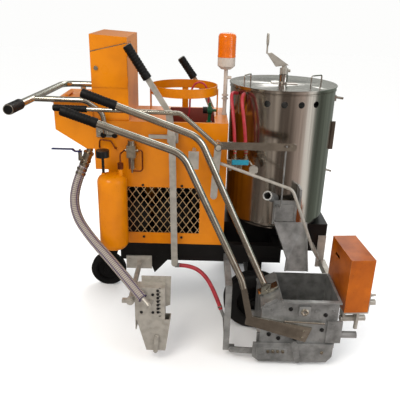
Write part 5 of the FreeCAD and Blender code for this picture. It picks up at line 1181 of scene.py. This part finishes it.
@dataclass
class Shoe(SubAssembly):
    """Marking shoe with its cover, runners and bolts."""

    dressed: Sequence[Dressed] = (
        Dressed("shoe_hopper", MILL_PLATE, 0.8), Dressed("shoe_cover", MILL_PLATE, 0.6),
        Dressed("shoe_skids", MILL_PLATE, 0.8),
    )
    face_y: float = -0.4655
    wall_bolts: Sequence[tuple[float, float]] = (
        (0.300, 0.160), (0.344, 0.140), (0.420, 0.140), (0.532, 0.190), (0.540, 0.268), (0.386, 0.294),
    )
    runner_xs: Sequence[float] = (0.300, 0.322, 0.344, 0.366, 0.540)
    runner_z: float = 0.082
    rod_foot: Point = (0.362, -0.474, 0.236)
    rod_radius: float = 0.0045
    rod_length: float = 0.176
    ring_place: Point = (0.445, -0.479, 0.290)

    def details(self) -> None:
        """Bolt the shoe's near wall and runner, and add its tie rod and sight ring."""
        wall = [(x, self.face_y, z) for x, z in self.wall_bolts]
        bolts("Shoe_wall_bolts", wall, (0, -1, 0), "shoe_body", 15, PHENOLIC)
        runner_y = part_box("shoe_skids")[0][1] - 0.0002
        runner = [(x, runner_y, self.runner_z) for x in self.runner_xs]
        bolts("Runner_bolts", runner, (0, -1, 0), "shoe_body", 12)
        section = [(0.0, 0.0), (self.rod_radius, 0.0), (self.rod_radius, self.rod_length),
                   (0.0, self.rod_length)]
        rod = lathed(section, self.rod_foot, (1, 0, -0.04), 16)
        finished_piece("Shoe_tie_rod", rod, PLATED_TUBE, "shoe_body")
        section = [(0.006, 0.0), (0.017, 0.0), (0.017, 0.005), (0.012, 0.008), (0.006, 0.005), (0.006, 0.0)]
        ring = lathed(section, self.ring_place, (0, -1, 0), 32)
        finished_piece("Shoe_sight_ring", ring, PLATED_TUBE, "shoe_body")


@dataclass
class SideBox(SubAssembly):
    """Side box in front of the kettle, on its bracket."""

    dressed: Sequence[Dressed] = (
        # The side box's enamel is darker as painted shade, with pale edges as painted highlights.
        Dressed("side_box", ENAMEL_SIDE_SHADE, 1.4), Dressed("side_box_bracket", GALVANISED, 0.8),
    )


@dataclass
class Chassis(SubAssembly):
    """Frame, caster and wheels."""

    dressed: Sequence[Dressed] = (
        Dressed("chassis_frame", CHASSIS_BLACK, 1.0, Solids.LARGEST),
        Dressed("chassis_frame", MILL_PLATE, 0.6, Solids.REST), Dressed("caster_fork", CHASSIS_BLACK, 0.8),
    )
    wheels: Sequence[tuple[str, float, float, float, float]] = (
        ("front_wheel_near", 0.150, 0.080, 0.092, 0.0146),
        ("front_wheel_far", 0.150, 0.080, 0.092, 0.0146),
        ("caster_wheel", 0.097, 0.044, 0.066, 0.0085),
    )
    rim_share: float = 0.42

    def details(self) -> None:
        """Turn the grooved tyres and the rims."""
        for node, radius, width, bore, axle in self.wheels:
            low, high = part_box(node)
            middle = (Vector(low) + Vector(high)) / 2
            self.tyre("Tyre_" + node, node, middle, radius, width, bore)
            self.rim("Rim_" + node, node, middle, bore, width * self.rim_share, axle)

    def rim(self, name: str, node: str, middle: Vector, radius: float, half: float, axle: float) -> None:
        """Turn a pressed rim with a rolled edge, a dished web and a hub.

        Args:
            name: The piece's name.
            node: The wheel's CAD node.
            middle: The wheel's middle.
            radius: Outer radius.
            half: Half the rim's width.
            axle: Radius of the axle's hole.
        """
        boss = axle + 0.012
        side = [(axle, half), (boss, half), (boss + 0.003, half * 0.5), (boss + 0.006, 0.005),
                (radius * 0.78, 0.009), (radius - 0.008, half * 0.55), (radius - 0.006, half),
                (radius + 0.0005, half)]
        profile = side + [(r, -z) for r, z in reversed(side)] + [side[0]]
        finished_piece(name, lathed(profile, middle, (0, 1, 0), 64), CHASSIS_BLACK, body_of(node), [node])

    def tyre(self, name: str, node: str, middle: Vector, radius: float, width: float, bore: float) -> None:
        """Turn a solid tyre with two grooves.

        Args:
            name: The piece's name.
            node: The wheel's CAD node.
            middle: The wheel's middle.
            radius: Outer radius.
            width: Tread width.
            bore: Radius of the rim's seat.
        """
        h, r = width / 2, radius
        side = [(bore, h * 0.96), (bore + (r - bore) * 0.25, h), (r - 0.016, h), (r - 0.005, h * 0.86),
                (r, h * 0.68)]
        grooves = []
        for at in (0.3, -0.3):
            grooves += [(r, h * (at + 0.1)), (r - 0.005, h * (at + 0.06)), (r - 0.005, h * (at - 0.06)),
                        (r, h * (at - 0.1))]
        profile = side + grooves + [(x, -z) for x, z in reversed(side)] + [side[0]]
        finished_piece(name, lathed(profile, middle, (0, 1, 0), 72), TYRE_RUBBER, body_of(node), [node])


def main() -> None:
    """Build the scene in order."""
    logging.basicConfig(level=logging.INFO, format="%(name)s: %(message)s")
    Studio().build()
    for hose in HOSES:
        LOG.info("hose %s", hose.build().name)
    for unit in (Chassis(), BodyUnit(), Cabinet(), BeadSystem(), AirUnit(), Levers(), Beacon(), Kettle(),
                 GasUnit(), Shoe(), SideBox()):
        LOG.info("sub-assembly %s", type(unit).__name__)
        unit.build()


if __name__ == "__main__":
    main()
